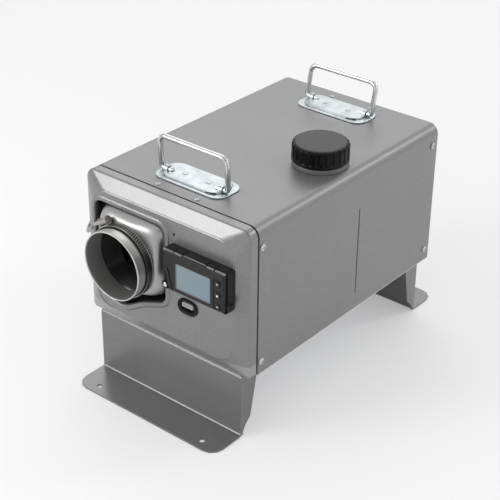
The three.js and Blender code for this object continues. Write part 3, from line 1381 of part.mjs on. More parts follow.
/** Controller body with a sunk screen and three button wells. */
function controllerBody() {
  const [left, right, bottom, top] = [CONTROLLER_LEFT, CONTROLLER_RIGHT, CONTROLLER_BOTTOM, CONTROLLER_TOP];
  const { corner, bevel } = CONTROLLER_EDGE;
  const front = CONTROLLER_FRONT;
  const rear = BRACKET_FRONT - GAP;
  const shape = rectangle(left + bevel, bottom + bevel, right - bevel, top - bevel, corner - bevel);
  const settings = { bevelEnabled: true, bevelThickness: bevel, bevelSize: bevel, bevelSegments: 2 };
  const depth = rear - front - 2 * bevel;
  const body = solid(extrusion(shape, depth, settings).rotateX(Math.PI / 2).translate(0, rear - bevel, 0));
  const recess = rectangle(
    SCREEN_LEFT - GAP,
    SCREEN_BOTTOM - GAP,
    SCREEN_RIGHT + GAP,
    SCREEN_TOP + GAP,
    SCREEN.corner,
  );
  const floor = front + SCREEN.sunk + SCREEN.thickness + GAP;
  const wells = Object.values(BUTTON_RISES).map((rise) => CONTROLLER_BOTTOM + rise).map(
    (z) => alongY(opening(BUTTON_X, z, BUTTON.radius + GAP), front - OVERCUT, front + BUTTON.length),
  );
  return body.subtract(alongY(recess, front - OVERCUT, floor)).subtract(join(...wells));
}

/** Clear pane over the display. */
function displayLens() {
  const from = CONTROLLER_FRONT + SCREEN.sunk;
  const pane = rectangle(SCREEN_LEFT, SCREEN_BOTTOM, SCREEN_RIGHT, SCREEN_TOP, SCREEN.corner);
  return alongY(pane, from, from + SCREEN.thickness);
}

/** Round push button in its well. */
function button(z) {
  const from = CONTROLLER_FRONT - BUTTON.proud;
  const rear = CONTROLLER_FRONT + BUTTON.length - BUTTON.proud - GAP;
  return turnedAlongY(BUTTON_X, z, [
    [0, from],
    [BUTTON.radius - 0.6, from],
    [BUTTON.radius, from + 0.6],
    [BUTTON.radius, rear],
    [0, rear],
  ], SMALL_STEPS);
}

/** Stadium outline round the port's middle, grown by a margin. */
function portOutline(margin) {
  const half = PORT.height / 2 + margin;
  return rectangle(
    PORT_X - PORT.width / 2 - margin,
    PORT_Z - half,
    PORT_X + PORT.width / 2 + margin,
    PORT_Z + half,
    half - 0.05,
  );
}

/** Oval grommet in the front panel. */
function portGrommet() {
  const front = FACE - GAP - PORT_LIP.thickness;
  return alongY(portOutline(PORT_LIP.reach), front, FACE - GAP)
    .add(alongY(portOutline(-GAP), FACE - GAP - 0.5, FACE + PORT.depth))
    .subtract(alongY(portOutline(-PORT.wall), front - OVERCUT, FACE + PORT.depth + OVERCUT));
}

/** Socket block inside the grommet. */
function portBlock() {
  const front = FACE + 1;
  const margin = -PORT.wall - GAP;
  const pins = [];
  for (let pin = 0; pin < PORT_PIN.count; pin += 1) {
    const x = PORT_X + (pin - (PORT_PIN.count - 1) / 2) * PORT_PIN.pitch;
    pins.push(barrel(x, PORT_Z, PORT_PIN.radius, front - OVERCUT, front + PORT_PIN.depth, HOLE_STEPS));
  }
  return alongY(portOutline(margin), front, FACE + PORT.depth).subtract(join(...pins));
}

// ---- Handles ----

/** Depth of a rear handle's place, mirrored to the front handle. */
function handlePlace(rear, fromOuterEdge) {
  return rear ? REAR_HANDLE_END - fromOuterEdge : HANDLE.front + fromOuterEdge;
}

/** Cutter for the rivets of both handles. */
function rivetHoles(from, to) {
  const holes = [];
  for (const rear of [false, true]) {
    for (const x of [-RIVET.x, RIVET.x]) {
      holes.push(alongZ(opening(x, handlePlace(rear, HANDLE.length / 2), RIVET.shank, HOLE_STEPS), from, to));
    }
  }
  return join(...holes);
}

/** Pressed handle plate with its crowned middle and two rolled loops for the bail's pins. */
function handlePlate(rear) {
  const half = HANDLE.width / 2;
  const bottom = CASE_TOP + GAP;
  const edges = [handlePlace(rear, 0), handlePlace(rear, HANDLE.length)];
  const low = Math.min(...edges);
  const high = Math.max(...edges);
  const pivot = handlePlace(rear, HANDLE.pivot);
  const plate = alongZ(rectangle(-half, low, half, high, HANDLE.corner), bottom, bottom + PLATE_SHEET);
  const inner = BAIL.wire + GAP;
  const outer = inner + LOOP.wall;
  const loops = [-1, 1].map((side) => {
    const from = side > 0 ? LOOP.inner : -LOOP.inner - LOOP.width;
    const arch = new THREE.Shape();
    arch.moveTo(pivot - outer - 1, bottom);
    arch.lineTo(pivot + outer + 1, bottom);
    arch.lineTo(pivot + outer, bottom + PLATE_SHEET + 1);
    arch.lineTo(pivot + outer, PIVOT_Z);
    arch.absarc(pivot, PIVOT_Z, outer, 0, Math.PI, false);
    arch.lineTo(pivot - outer, bottom + PLATE_SHEET + 1);
    return alongX(arch, from, from + LOOP.width);
  });
  const crownHalf = LOOP.inner - 5;
  const crown = alongZ(
    rectangle(-crownHalf, low + 6, crownHalf, high - 6, 4),
    bottom + PLATE_SHEET / 2,
    bottom + PLATE_SHEET + HANDLE.crown,
  );
  const bore = alongX(opening(pivot, PIVOT_Z, inner), -half, half);
  const slots = [-1, 1].map((side) => alongZ(
    rectangle(
      side * KEYHOLE.aside - KEYHOLE.width / 2,
      pivot - KEYHOLE.below,
      side * KEYHOLE.aside + KEYHOLE.width / 2,
      pivot + KEYHOLE.above,
      KEYHOLE.corner,
    ),
    bottom - OVERCUT,
    bottom + PLATE_SHEET + HANDLE.crown + OVERCUT,
  ));
  return join(plate, ...loops)
    .subtract(bore)
    .add(crown)
    .subtract(rivetHoles(bottom - OVERCUT, bottom + PLATE_SHEET + HANDLE.crown + OVERCUT))
    .subtract(join(...slots));
}

/** Wire bail with inward pins, leaning outwards from upright. */
function bail(rear) {
  const pivot = handlePlace(rear, HANDLE.pivot);
  const { halfWidth, height, bend, pinInset } = BAIL;
  const foot = bend / 3;
  const path = new THREE.CurvePath();
  const at = (x, z) => new THREE.Vector3(x, 0, z);
  const line = (a, b) => path.add(new THREE.LineCurve3(a, b));
  const turn = (a, b, c) => path.add(new THREE.QuadraticBezierCurve3(a, b, c));
  const inner = halfWidth - pinInset;
  line(at(-inner, 0), at(-halfWidth + foot, 0));
  turn(at(-halfWidth + foot, 0), at(-halfWidth, 0), at(-halfWidth, foot));
  line(at(-halfWidth, foot), at(-halfWidth, height - bend));
  turn(at(-halfWidth, height - bend), at(-halfWidth, height), at(-halfWidth + bend, height));
  line(at(-halfWidth + bend, height), at(halfWidth - bend, height));
  turn(at(halfWidth - bend, height), at(halfWidth, height), at(halfWidth, height - bend));
  line(at(halfWidth, height - bend), at(halfWidth, foot));
  turn(at(halfWidth, foot), at(halfWidth, 0), at(halfWidth - foot, 0));
  line(at(halfWidth - foot, 0), at(inner, 0));
  const lean = degToRad(rear ? -REAR_LEAN : FRONT_LEAN);
  return solid(wireGeometry(path).rotateX(lean).translate(0, pivot, PIVOT_Z));
}

/** Round wire along a flat path in the (x, z) plane, with rings only where it bends. */
function wireGeometry(path) {
  const points = [];
  path.curves.forEach((curve) => {
    const steps = curve.isLineCurve3 ? 1 : BAIL.steps;
    for (let step = 0; step <= steps; step += 1) {
      const point = curve.getPoint(step / steps);
      if (points.length === 0 || point.distanceTo(points[points.length - 1]) > GAP) {
        points.push(point);
      }
    }
  });
  const rings = points.map((point, index) => {
    const before = points[Math.max(index - 1, 0)];
    const after = points[Math.min(index + 1, points.length - 1)];
    const along = after.clone().sub(before).normalize();
    const across = new THREE.Vector3(along.z, 0, -along.x);
    const ring = [];
    for (let side = 0; side < BAIL.sides; side += 1) {
      const angle = (2 * Math.PI * side) / BAIL.sides;
      ring.push(point.clone()
        .addScaledVector(across, BAIL.wire * Math.cos(angle))
        .add(new THREE.Vector3(0, BAIL.wire * Math.sin(angle), 0)));
    }
    return ring;
  });
  return skin(rings);
}

// ---- Assembly ----
piece('case_sleeve', caseSleeve(), PAINT);
piece('front_panel', frontPanel(), PANEL_PAINT);
piece('rear_panel', rearPanel(), PANEL_PAINT);
piece('base_tray', baseTray(), ZINC);
piece('front_foot', foot(false), PAINT);
piece('rear_foot', foot(true), PAINT);
piece('cable_gland', cableGland(), BLACK_PLASTIC);
for (const [side, label] of [[1, 'right'], [-1, 'left']]) {
  sideScrewPlaces().forEach(({ y, z }, index) => {
    piece(`case_screw_${label}_${index + 1}`, caseScrew(side, y, z), ZINC);
  });
}

piece('outlet_hood', outletHood(), BRUSHED);
piece('duct_spigot', ductSpigot(), BRUSHED);
piece('spigot_seal', spigotSeal(), RUBBER);
piece('clamp_band', clampBand(), CHROME);
piece('clamp_housing', clampHousing(), CHROME);
piece('clamp_screw', clampScrew(), ZINC);

piece('jacket_upper', jacketShell(true), BLACK_PLASTIC);
piece('jacket_lower', jacketShell(false), BLACK_PLASTIC);
piece('heater_cradle', heaterCradle(), ZINC);
piece('heat_exchanger', heatExchanger(), CAST);
piece('combustion_chamber', combustionChamber(), BRUSHED);
piece('glow_plug', glowPlug(), BRASS);
piece('burner_housing', burnerHousing(), CAST);
piece('mount_gasket', mountGasket(), RUBBER);
piece('exhaust_stub', pipeStub(EXHAUST), BRUSHED);
piece('air_intake_stub', pipeStub(INTAKE), CAST);
piece('fan_motor', fanMotor(), ZINC);
piece('motor_shaft', motorShaft(), BRUSHED);
piece('combustion_impeller', combustionImpeller(), CAST);
piece('fan_impeller', fanImpeller(), BLACK_PLASTIC);
piece('control_board', controlBoard(), GREEN_BOARD);

piece('fuel_tank', fuelTank(), TANK_PLASTIC);
piece('filler_collar', fillerCollar(), BLACK_PLASTIC);
piece('cap_seal', capSeal(), RUBBER);
piece('fuel_cap', fuelCap(), BLACK_PLASTIC);
piece('fuel_filter', fuelFilter(), TANK_PLASTIC);
piece('fuel_pump', fuelPump(), ZINC);
piece('pump_clip', pumpClip(), RUBBER);
piece('tank_hose', tankHose(), RUBBER);
piece('pump_hose', pumpHose(), RUBBER);
piece('burner_hose', burnerHose(), RUBBER);

piece('controller_bracket', controllerBracket(), BLACK_PLASTIC);
piece('controller_body', controllerBody(), CONTROL_PLASTIC);
piece('display_lens', displayLens(), SCREEN_GLASS);
for (const [name, rise] of Object.entries(BUTTON_RISES)) {
  piece(name, button(CONTROLLER_BOTTOM + rise), KEY_PLASTIC);
}
piece('port_grommet', portGrommet(), RUBBER);
piece('port_block', portBlock(), KEY_PLASTIC);

for (const [label, rear] of [['front', false], ['rear', true]]) {
  piece(`${label}_handle_plate`, handlePlate(rear), ZINC);
  piece(`${label}_bail`, bail(rear), CHROME);
}

export default heater;
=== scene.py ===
"""Diesel air heater: visual pieces, finishes, studio and camera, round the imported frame."""

import json
import logging
import math
from dataclasses import dataclass, field
from enum import Enum
from typing import Sequence, Union

import bmesh
import bpy
import numpy as np
from mathutils import Matrix, Vector

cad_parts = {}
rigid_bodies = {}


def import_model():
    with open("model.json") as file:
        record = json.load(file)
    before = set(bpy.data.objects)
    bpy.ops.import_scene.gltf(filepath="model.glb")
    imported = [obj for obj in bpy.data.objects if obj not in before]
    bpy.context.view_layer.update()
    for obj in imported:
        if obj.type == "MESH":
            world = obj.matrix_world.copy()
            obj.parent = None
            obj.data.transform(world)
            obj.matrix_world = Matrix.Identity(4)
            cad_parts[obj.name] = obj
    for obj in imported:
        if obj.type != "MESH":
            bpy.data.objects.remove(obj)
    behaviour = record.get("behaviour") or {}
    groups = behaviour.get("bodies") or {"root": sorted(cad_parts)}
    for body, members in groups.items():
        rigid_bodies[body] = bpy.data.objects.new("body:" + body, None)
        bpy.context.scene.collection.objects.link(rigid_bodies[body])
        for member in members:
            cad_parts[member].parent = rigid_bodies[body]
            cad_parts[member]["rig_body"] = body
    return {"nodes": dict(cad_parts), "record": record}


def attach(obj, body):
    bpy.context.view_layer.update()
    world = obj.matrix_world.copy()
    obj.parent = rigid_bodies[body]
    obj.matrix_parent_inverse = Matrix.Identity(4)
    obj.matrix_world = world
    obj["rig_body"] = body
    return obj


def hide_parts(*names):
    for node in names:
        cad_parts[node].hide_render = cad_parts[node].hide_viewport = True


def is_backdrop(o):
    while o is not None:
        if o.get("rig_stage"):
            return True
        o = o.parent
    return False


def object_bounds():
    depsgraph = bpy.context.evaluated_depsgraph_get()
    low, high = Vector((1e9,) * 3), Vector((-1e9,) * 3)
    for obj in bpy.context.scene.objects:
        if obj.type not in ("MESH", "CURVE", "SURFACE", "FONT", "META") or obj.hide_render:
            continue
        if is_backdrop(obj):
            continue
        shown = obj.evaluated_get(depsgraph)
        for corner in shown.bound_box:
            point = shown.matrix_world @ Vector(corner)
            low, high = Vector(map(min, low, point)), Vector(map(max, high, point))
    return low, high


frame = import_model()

LOG = logging.getLogger("air_heater")
MIDDLE = 160.75  # mm, from the seam between sleeve and panel to the middle of the feet
MILLIMETRE = 0.001

Array = np.ndarray
Colour = tuple[float, float, float]


class Axis(Enum):
    """Direction that a turned or drawn form runs along, as the order of (side, side, along)."""

    X = (1, 2, 0)
    Y = (0, 2, 1)
    Z = (0, 1, 2)


# ---------------------------------------------------------------- shader sockets


@dataclass(frozen=True)
class Socket:
    """A value in a material's node tree that ordinary arithmetic works on."""

    shader: "Shader"
    source: bpy.types.NodeSocket

    def __add__(self, other: "Value") -> "Socket":
        """Sum with another value."""
        return self.shader.maths("ADD", self, other)

    def __radd__(self, other: "Value") -> "Socket":
        """Sum with a value on the left."""
        return self.shader.maths("ADD", other, self)

    def __sub__(self, other: "Value") -> "Socket":
        """Difference from another value."""
        return self.shader.maths("SUBTRACT", self, other)

    def __rsub__(self, other: "Value") -> "Socket":
        """Difference from a value on the left."""
        return self.shader.maths("SUBTRACT", other, self)

    def __mul__(self, other: "Value") -> "Socket":
        """Product with another value."""
        return self.shader.maths("MULTIPLY", self, other)

    def __rmul__(self, other: "Value") -> "Socket":
        """Product with a value on the left."""
        return self.shader.maths("MULTIPLY", other, self)

    def __truediv__(self, other: "Value") -> "Socket":
        """Quotient by another value."""
        return self.shader.maths("DIVIDE", self, other)

    def __rtruediv__(self, other: "Value") -> "Socket":
        """Quotient of a value on the left."""
        return self.shader.maths("DIVIDE", other, self)

    def __pow__(self, other: "Value") -> "Socket":
        """Power of this value."""
        return self.shader.maths("POWER", self, other)

    def __rpow__(self, other: "Value") -> "Socket":
        """Power of a value on the left."""
        return self.shader.maths("POWER", other, self)

    def __neg__(self) -> "Socket":
        """Opposite of this value."""
        return self.shader.maths("MULTIPLY", self, -1.0)

    def step(self, low: float, high: float) -> "Socket":
        """Smooth rise from 0 at low to 1 at high."""
        return self.shader.node(
            "ShaderNodeMapRange",
            {"interpolation_type": "SMOOTHSTEP", "clamp": True},
            {"Value": self, "From Min": low, "From Max": high},
        )


Value = Union[float, Colour, Socket]


class Shader:
    """Builds one material's node tree."""

    def __init__(self, name: str) -> None:
        """Starts an empty node tree with its output.

        Args:
            name: Name of the material.
        """
        self.material = bpy.data.materials.new(name)
        self.material.use_nodes = True
        self.tree = self.material.node_tree
        self.tree.nodes.clear()
        self.output = self.tree.nodes.new("ShaderNodeOutputMaterial")

    def feed(self, target: bpy.types.NodeSocket, value: Value) -> None:
        """Links a socket to an input, or sets the input's own value.

        Args:
            target: The input.
            value: A socket, a number, or a colour or vector.
        """
        if isinstance(value, Socket):
            self.tree.links.new(value.source, target)
        elif isinstance(value, tuple) and len(value) == 3 and target.type == "RGBA":
            target.default_value = (*value, 1.0)
        else:
            target.default_value = value

    def node(
        self,
        kind: str,
        settings: dict[str, object] | None = None,
        inputs: dict[str | int, Value] | None = None,
        output: str | int = 0,
    ) -> Socket:
        """Adds a node, with its settings first and its inputs after them.

        Args:
            kind: Type of the node.
            settings: Properties of the node.
            inputs: Values of its inputs, by name or place.
            output: Which output is given back.

        Returns:
            The chosen output.
        """
        made = self.tree.nodes.new(kind)
        for key, value in (settings or {}).items():
            setattr(made, key, value)
        for key, value in (inputs or {}).items():
            self.feed(made.inputs[key], value)
        return Socket(self, made.outputs[output])

    def maths(self, operation: str, first: Value, second: Value = 0.0) -> Socket:
        """Adds a math node of two values."""
        return self.node("ShaderNodeMath", {"operation": operation}, {0: first, 1: second})

    def mix(self, share: Value, first: Value, second: Value) -> Socket:
        """Mixes two colours by a share."""
        settings = {"data_type": "RGBA", "clamp_factor": True}
        return self.node("ShaderNodeMix", settings, {0: share, 6: first, 7: second}, 2)

    def place(self) -> Socket:
        """Object coordinates in metres."""
        return self.node("ShaderNodeTexCoord", output="Object")

    def stretched(self, centre: Array, scale: tuple[float, float, float]) -> Socket:
        """Object coordinates about a centre, stretched along the axes.

        Args:
            centre: Centre in mm of the seam frame.
            scale: Factor along each axis.

        Returns:
            The vector (p - centre) * scale.
        """
        away = tuple(float(value) for value in -metres(np.asarray(centre, float)))
        moved = self.node("ShaderNodeVectorMath", {"operation": "ADD"}, {0: self.place(), 1: away})
        return self.node("ShaderNodeVectorMath", {"operation": "MULTIPLY"}, {0: moved, 1: scale})

    def parts(self, vector: Socket) -> tuple[Socket, Socket, Socket]:
        """Takes a vector apart.

        Args:
            vector: The vector.

        Returns:
            Its x, y and z.
        """
        first = self.node("ShaderNodeSeparateXYZ", inputs={0: vector})
        outputs = first.source.node.outputs
        return tuple(Socket(self, outputs[index]) for index in range(3))

    def noise(self, vector: Socket, scale: float, detail: float = 3.0, rough: float = 0.55) -> Socket:
        """Fractal noise from 0 to 1."""
        inputs = {"Vector": vector, "Scale": scale, "Detail": detail, "Roughness": rough}
        return self.node("ShaderNodeTexNoise", inputs=inputs, output=0)

    def cells(self, vector: Socket, scale: float) -> Socket:
        """Distance to the nearest of scattered points."""
        return self.node("ShaderNodeTexVoronoi", inputs={"Vector": vector, "Scale": scale}, output=0)

    def bump(self, height: Socket, distance: float, strength: float = 1.0) -> Socket:
        """Normal of a height field with a depth in metres."""
        inputs = {"Strength": strength, "Distance": distance, "Height": height}
        return self.node("ShaderNodeBump", inputs=inputs, output=0)

    def finish(self, inputs: dict[str, Value]) -> bpy.types.Material:
        """Ends the tree with one Principled shader.

        Args:
            inputs: Values of the shader's own inputs.

        Returns:
            The finished material.
        """
        surface = self.node("ShaderNodeBsdfPrincipled", inputs=inputs)
        self.tree.links.new(surface.source, self.output.inputs["Surface"])
        self.material.diffuse_color = (0.5, 0.5, 0.5, 1.0)
        return self.material


# ---------------------------------------------------------------- finishes


def shade(level: float, tint: Colour = (1.0, 1.0, 1.0)) -> Colour:
    """Linear colour of a grey level as a screen shows it.

    Args:
        level: Grey level from 0 to 255.
        tint: Factor of each channel.

    Returns:
        The sRGB curve's linear value, times the tint.
    """
    part = level / 255
    linear = part / 12.92 if part <= 0.04045 else ((part + 0.055) / 1.055) ** 2.4
    return tuple(linear * value for value in tint)


@dataclass(frozen=True)
class FleckPaint:
    """Baked metallic paint: fine hammered skin with light and dark flecks."""

    name: str
    colour: Colour
    metallic: float = 0.55
    roughness: float = 0.42
    fleck: float = 0.16
    grain: float = 900.0
    depth: float = 0.00005
    # Below this height the colour is lifted by the factor after it: painted light on a surface that faces down.
    painted_light_below: float = 0.0
    painted_light_lift: float = 1.45

    def make(self) -> bpy.types.Material:
        """Builds the material.

        Returns:
            Paint whose flecks follow fine noise, and whose gloss follows broad noise; below the painted-light
            height its colour is lifted, painted light on the lower bevel that faces down.
        """
        s = Shader(self.name)
        place = s.place()
        fine = s.noise(place, self.grain, 2.0, 0.7)
        broad = s.noise(place, 9.0, 3.0)
        light = tuple(value * (1 + self.fleck) for value in self.colour)
        dark = tuple(value * (1 - self.fleck) for value in self.colour)
        painted_light_colour = tuple(value * self.painted_light_lift for value in self.colour)
        edge = self.painted_light_below * MILLIMETRE
        # Mask of the painted light: 1 below the height, 0 above it.
        lower = 1.0 - s.parts(place)[2].step(edge - 0.0003, edge + 0.0003)
        flecked = s.mix(fine.step(0.3, 0.7), dark, light)
        base = s.mix(lower, s.mix(broad.step(0.35, 0.7) * 0.12, flecked, dark), painted_light_colour)
        skin = s.noise(place, self.grain * 0.55, 2.0)
        return s.finish({
            "Base Color": base,
            "Metallic": self.metallic,
            "Roughness": self.roughness + (broad - 0.5) * 0.08 + (fine - 0.5) * 0.1,
            "Coat Weight": 0.18,
            "Coat Roughness": 0.3,
            "Normal": s.bump(skin, self.depth, 0.5),
        })


@dataclass(frozen=True)
class PlatedSteel:
    """Plated steel: faint blotches in the tint, fine draw marks in the gloss."""

    name: str
    colour: Colour
    blotch: Colour
    roughness: float = 0.22
    metallic: float = 1.0
    depth: float = 0.00001

    def make(self) -> bpy.types.Material:
        """Builds the material.

        Returns:
            Metal whose tint drifts between two colours over about a centimetre.
        """
        s = Shader(self.name)
        place = s.place()
        cloud = s.noise(place, 70.0, 3.0)
        marks = s.noise(s.stretched(np.zeros(3), (60.0, 900.0, 900.0)), 1.0, 3.0)
        return s.finish({
            "Base Color": s.mix(cloud.step(0.35, 0.65), self.colour, self.blotch),
            "Metallic": self.metallic,
            "Roughness": self.roughness + (marks - 0.5) * 0.06 + (cloud - 0.5) * 0.06,
            "Normal": s.bump(marks, self.depth, 0.3),
        })


@dataclass(frozen=True)
class TurnedSteel:
    """Satin steel with marks that run round an axis along the depth."""

    name: str
    colour: Colour
    centre: tuple[float, float, float]
    roughness: float = 0.3
    streaks: float = 1500.0
    depth: float = 0.00002
    metallic: float = 1.0

    def make(self) -> bpy.types.Material:
        """Builds the material.

        Returns:
            Metal whose marks are noise that changes fast along the axis and slowly round it.
        """
        s = Shader(self.name)
        local = s.stretched(np.array(self.centre), (1.0, 1.0, 1.0))
        x, y, z = s.parts(local)
        radius = s.maths("SQRT", x * x + z * z)
        ringed = s.node("ShaderNodeCombineXYZ", inputs={
            0: x * 25.0, 1: (y + radius) * self.streaks, 2: z * 25.0,
        })
        marks = s.noise(ringed, 1.0, 4.0, 0.65)
        cloud = s.noise(local, 45.0, 3.0)
        dark = tuple(value * 0.78 for value in self.colour)
        return s.finish({
            "Base Color": s.mix(marks.step(0.3, 0.72) * 0.6 + cloud * 0.4, dark, self.colour),
            "Metallic": self.metallic,
            "Roughness": self.roughness + (marks - 0.5) * 0.16 + (cloud - 0.5) * 0.1,
            "Normal": s.bump(marks, self.depth, 0.35),
        })


@dataclass(frozen=True)
class CastMetal:
    """Blasted aluminium casting: granular skin with darker pits."""

    name: str
    colour: Colour
    roughness: float = 0.55

    def make(self) -> bpy.types.Material:
        """Builds the material.

        Returns:
            Metal whose skin mixes grains of 1 mm and pits of 3 mm.
        """
        s = Shader(self.name)
        place = s.place()
        grains = s.noise(place, 1000.0, 3.0, 0.7)
        pits = s.cells(place, 350.0)
        dark = tuple(value * 0.6 for value in self.colour)
        return s.finish({
            "Base Color": s.mix(pits.step(0.05, 0.45) * 0.7 + grains * 0.3, dark, self.colour),
            "Metallic": 0.85,
            "Roughness": self.roughness + (grains - 0.5) * 0.2,
            "Normal": s.bump(grains + pits * 0.4, 0.00012, 0.6),
        })


@dataclass(frozen=True)
class MouldedPlastic:
    """Moulded plastic with a spark-eroded grain and faint handling marks."""

    name: str
    colour: Colour
    roughness: float = 0.45
    grain: float = 1300.0
    depth: float = 0.00005
    clearness: float = 0.0
    specular: float = 0.3

    def make(self) -> bpy.types.Material:
        """Builds the material.

        Returns:
            Plastic whose gloss and height follow the grain.
        """
        s = Shader(self.name)
        place = s.place()
        grains = s.noise(place, self.grain, 2.0, 0.6)
        marks = s.noise(place, 60.0, 4.0)
        lighter = tuple(value * 1.35 + 0.004 for value in self.colour)
        return s.finish({
            "Base Color": s.mix(marks.step(0.45, 0.8) * 0.5 + grains * 0.3, self.colour, lighter),
            "Roughness": self.roughness + (grains - 0.5) * 0.2 + (marks - 0.5) * 0.12,
            "Specular IOR Level": self.specular,
            "Subsurface Weight": self.clearness,
            "Subsurface Radius": (0.004, 0.004, 0.004),
            "Normal": s.bump(grains, self.depth, 0.6),
        })


@dataclass(frozen=True)
class CapPlastic:
    """Glossy moulded plastic with a matt disc above a height, whose lighter colour there is painted sheen."""

    name: str
    colour: Colour
    disc_painted_sheen: Colour
    height: float
    roughness: float = 0.3

    def make(self) -> bpy.types.Material:
        """Builds the material.

        Returns:
            Plastic that changes colour and gloss at the height of the disc.
        """
        s = Shader(self.name)
        place = s.place()
        level = s.parts(place)[2]
        edge = self.height * MILLIMETRE
        matt_top_and_painted_sheen = level.step(edge, edge + 0.0004)
        grains = s.noise(place, 1400.0, 2.0, 0.6)
        marks = s.noise(place, 80.0, 4.0)
        worn = tuple(value * 1.5 + 0.002 for value in self.colour)
        return s.finish({
            "Base Color": s.mix(matt_top_and_painted_sheen, s.mix(marks.step(0.45, 0.8), self.colour, worn), self.disc_painted_sheen),
            "Roughness": self.roughness + matt_top_and_painted_sheen * 0.25 + (grains - 0.5) * 0.15,
            "Specular IOR Level": 0.18,
            "Normal": s.bump(grains, 0.00004, 0.5),
        })


@dataclass(frozen=True)
class DisplayGlass:
    """Dark-off liquid crystal behind a clear pane: a grey-blue field with a faint dot grid, given a faint glow
    as painted light.
    """

    name: str
    corner: tuple[float, float, float]
    width: float
    height: float

    def make(self) -> bpy.types.Material:
        """Builds the material.

        Returns:
            A field that drifts from pale green-grey at the upper left to blue-grey at the lower right.
        """
        s = Shader(self.name)
        scale = (1000 / self.width, 1.0, 1000 / self.height)
        x, _, z = s.parts(s.stretched(np.array(self.corner), scale))
        drift = (x * 0.65 + (1.0 - z) * 0.35).step(0.05, 0.95)
        tone = s.mix(drift, (0.165, 0.225, 0.245), (0.14, 0.205, 0.245))
        dots = s.maths("SINE", x * 900.0) * s.maths("SINE", z * 560.0)
        edge = s.maths("MINIMUM", s.maths("MINIMUM", x, 1.0 - x), s.maths("MINIMUM", z, 1.0 - z))
        dotted = s.mix(dots * 0.03 + 0.03, tone, (0.1, 0.13, 0.15))
        shaded = s.mix(edge.step(0.0, 0.03), (0.09, 0.11, 0.12), dotted)
        return s.finish({
            "Base Color": shaded,
            "Roughness": 0.32 + dots * 0.02,
            "Coat Weight": 0.35,
            "Coat Roughness": 0.08,
            # The switched-off display glows faintly: painted light that lifts the field's tone.
            "Emission Color": shaded,
            "Emission Strength": 0.1,
        })


@dataclass(frozen=True)
class CircuitLacquer:
    """Green board lacquer over copper tracks."""

    name: str
    colour: Colour
    track: Colour

    def make(self) -> bpy.types.Material:
        """Builds the material.

        Returns:
            Lacquer with lighter tracks where two ruled waves cross.
        """
        s = Shader(self.name)
        x, y, z = s.parts(s.place())
        ruled = s.maths("SINE", x * 2400.0) * s.maths("SINE", (y + z) * 1700.0)
        return s.finish({
            "Base Color": s.mix(ruled.step(0.35, 0.5), self.colour, self.track),
            "Roughness": 0.35 + ruled * 0.05,
            "Normal": s.bump(ruled, 0.00003, 0.5),
        })


DUCT = (-42.7, 0.0, 179.8)


class Finish(Enum):
    """Every finish of the heater."""

    CASE_PAINT = FleckPaint("case_paint", shade(131, (1.0, 1.0, 1.015)))
    # The panel paint is lifted lighter below 97.2 mm: painted light on the lower bevel, which faces down.
    PANEL_PAINT = FleckPaint("panel_paint", shade(131, (1.0, 1.0, 1.01)), 0.6, 0.34, 0.12, painted_light_below=97.2)
    ZINC = PlatedSteel("zinc_plate", shade(203, (0.96, 1.0, 1.02)), shade(186, (0.93, 1.0, 1.03)), 0.34, 0.8)
    CHROME = PlatedSteel("bright_plate", shade(206), shade(196, (0.98, 1.0, 1.02)), 0.2, 1.0, 0.000003)
    BRUSHED = TurnedSteel("satin_steel", shade(222, (1.01, 1.0, 0.985)), DUCT, 0.36, 1500.0, 0.00002, 0.85)
    HOOD_STEEL = TurnedSteel("drawn_steel", shade(178, (1.0, 1.0, 0.99)), DUCT, 0.38, 500.0, 0.00001, 0.95)
    BAND_STEEL = TurnedSteel("band_steel", shade(160, (1.02, 1.0, 0.96)), DUCT, 0.34, 1200.0)
    FOOT_PAINT = FleckPaint("foot_paint", shade(124, (1.0, 1.0, 1.01)), 0.75, 0.3, 0.06, 1100.0, 0.00002)
    # Pale copy of the case paint for the rolled hems: painted highlight.
    HEM_HIGHLIGHT_PAINT = FleckPaint("hem_painted_highlight", shade(205))
    SIGHT_PLASTIC = MouldedPlastic("sight_plastic", shade(98), 0.5)
    CLAMP_STEEL = PlatedSteel(
        "clamp_steel", shade(176, (1.03, 1.0, 0.97)), shade(158, (1.03, 1.0, 0.96)), 0.3, 0.9)
    # The cap's disc colour is painted sheen: the top is lighter as a stand-in for the sky's reflection on it.
    CAP_PLASTIC = CapPlastic("cap_plastic", shade(3), shade(82), 287.3)
    COLLAR_PLASTIC = MouldedPlastic("collar_plastic", shade(96), 0.35)
    CAST = CastMetal("cast_aluminium", shade(168))
    BLACK_PLASTIC = MouldedPlastic("black_plastic", shade(20), 0.36, 1500.0, 0.00003)
    CONTROL_PLASTIC = MouldedPlastic("control_plastic", shade(30, (0.98, 1.0, 1.02)), 0.5)
    # Darker copy of the controller plastic for the bracket: painted shade for the shadow over its top.
    CONTROL_PAINTED_SHADE = MouldedPlastic("control_painted_shade", shade(16, (1.0, 0.99, 1.0)), 0.55)
    # Pale copy of the controller plastic: painted highlight on the clips' top edges and on the display's edge.
    CONTROL_HIGHLIGHT = MouldedPlastic("control_painted_highlight", shade(124), 0.4)
    KEY_PLASTIC = MouldedPlastic("key_plastic", shade(36), 0.4, 1800.0, 0.00003)
    PORT_PLASTIC = MouldedPlastic("port_plastic", shade(160), 0.5)
    KEY_MARK = MouldedPlastic("key_mark", shade(235), 0.35)
    RUBBER = MouldedPlastic("rubber", shade(12), 0.62, 900.0, 0.00006)
    SCREEN = DisplayGlass("screen", (35.0, -34.4, 174.8), 47.0, 29.5)
    TANK_PLASTIC = MouldedPlastic("tank_plastic", shade(216, (1.0, 0.99, 0.94)), 0.5, 500.0, 0.00008, 0.2)
    BRASS = PlatedSteel("brass", (0.55, 0.4, 0.14), (0.48, 0.34, 0.11), 0.3)
    BOARD = CircuitLacquer("board", (0.01, 0.09, 0.035), (0.05, 0.2, 0.08))


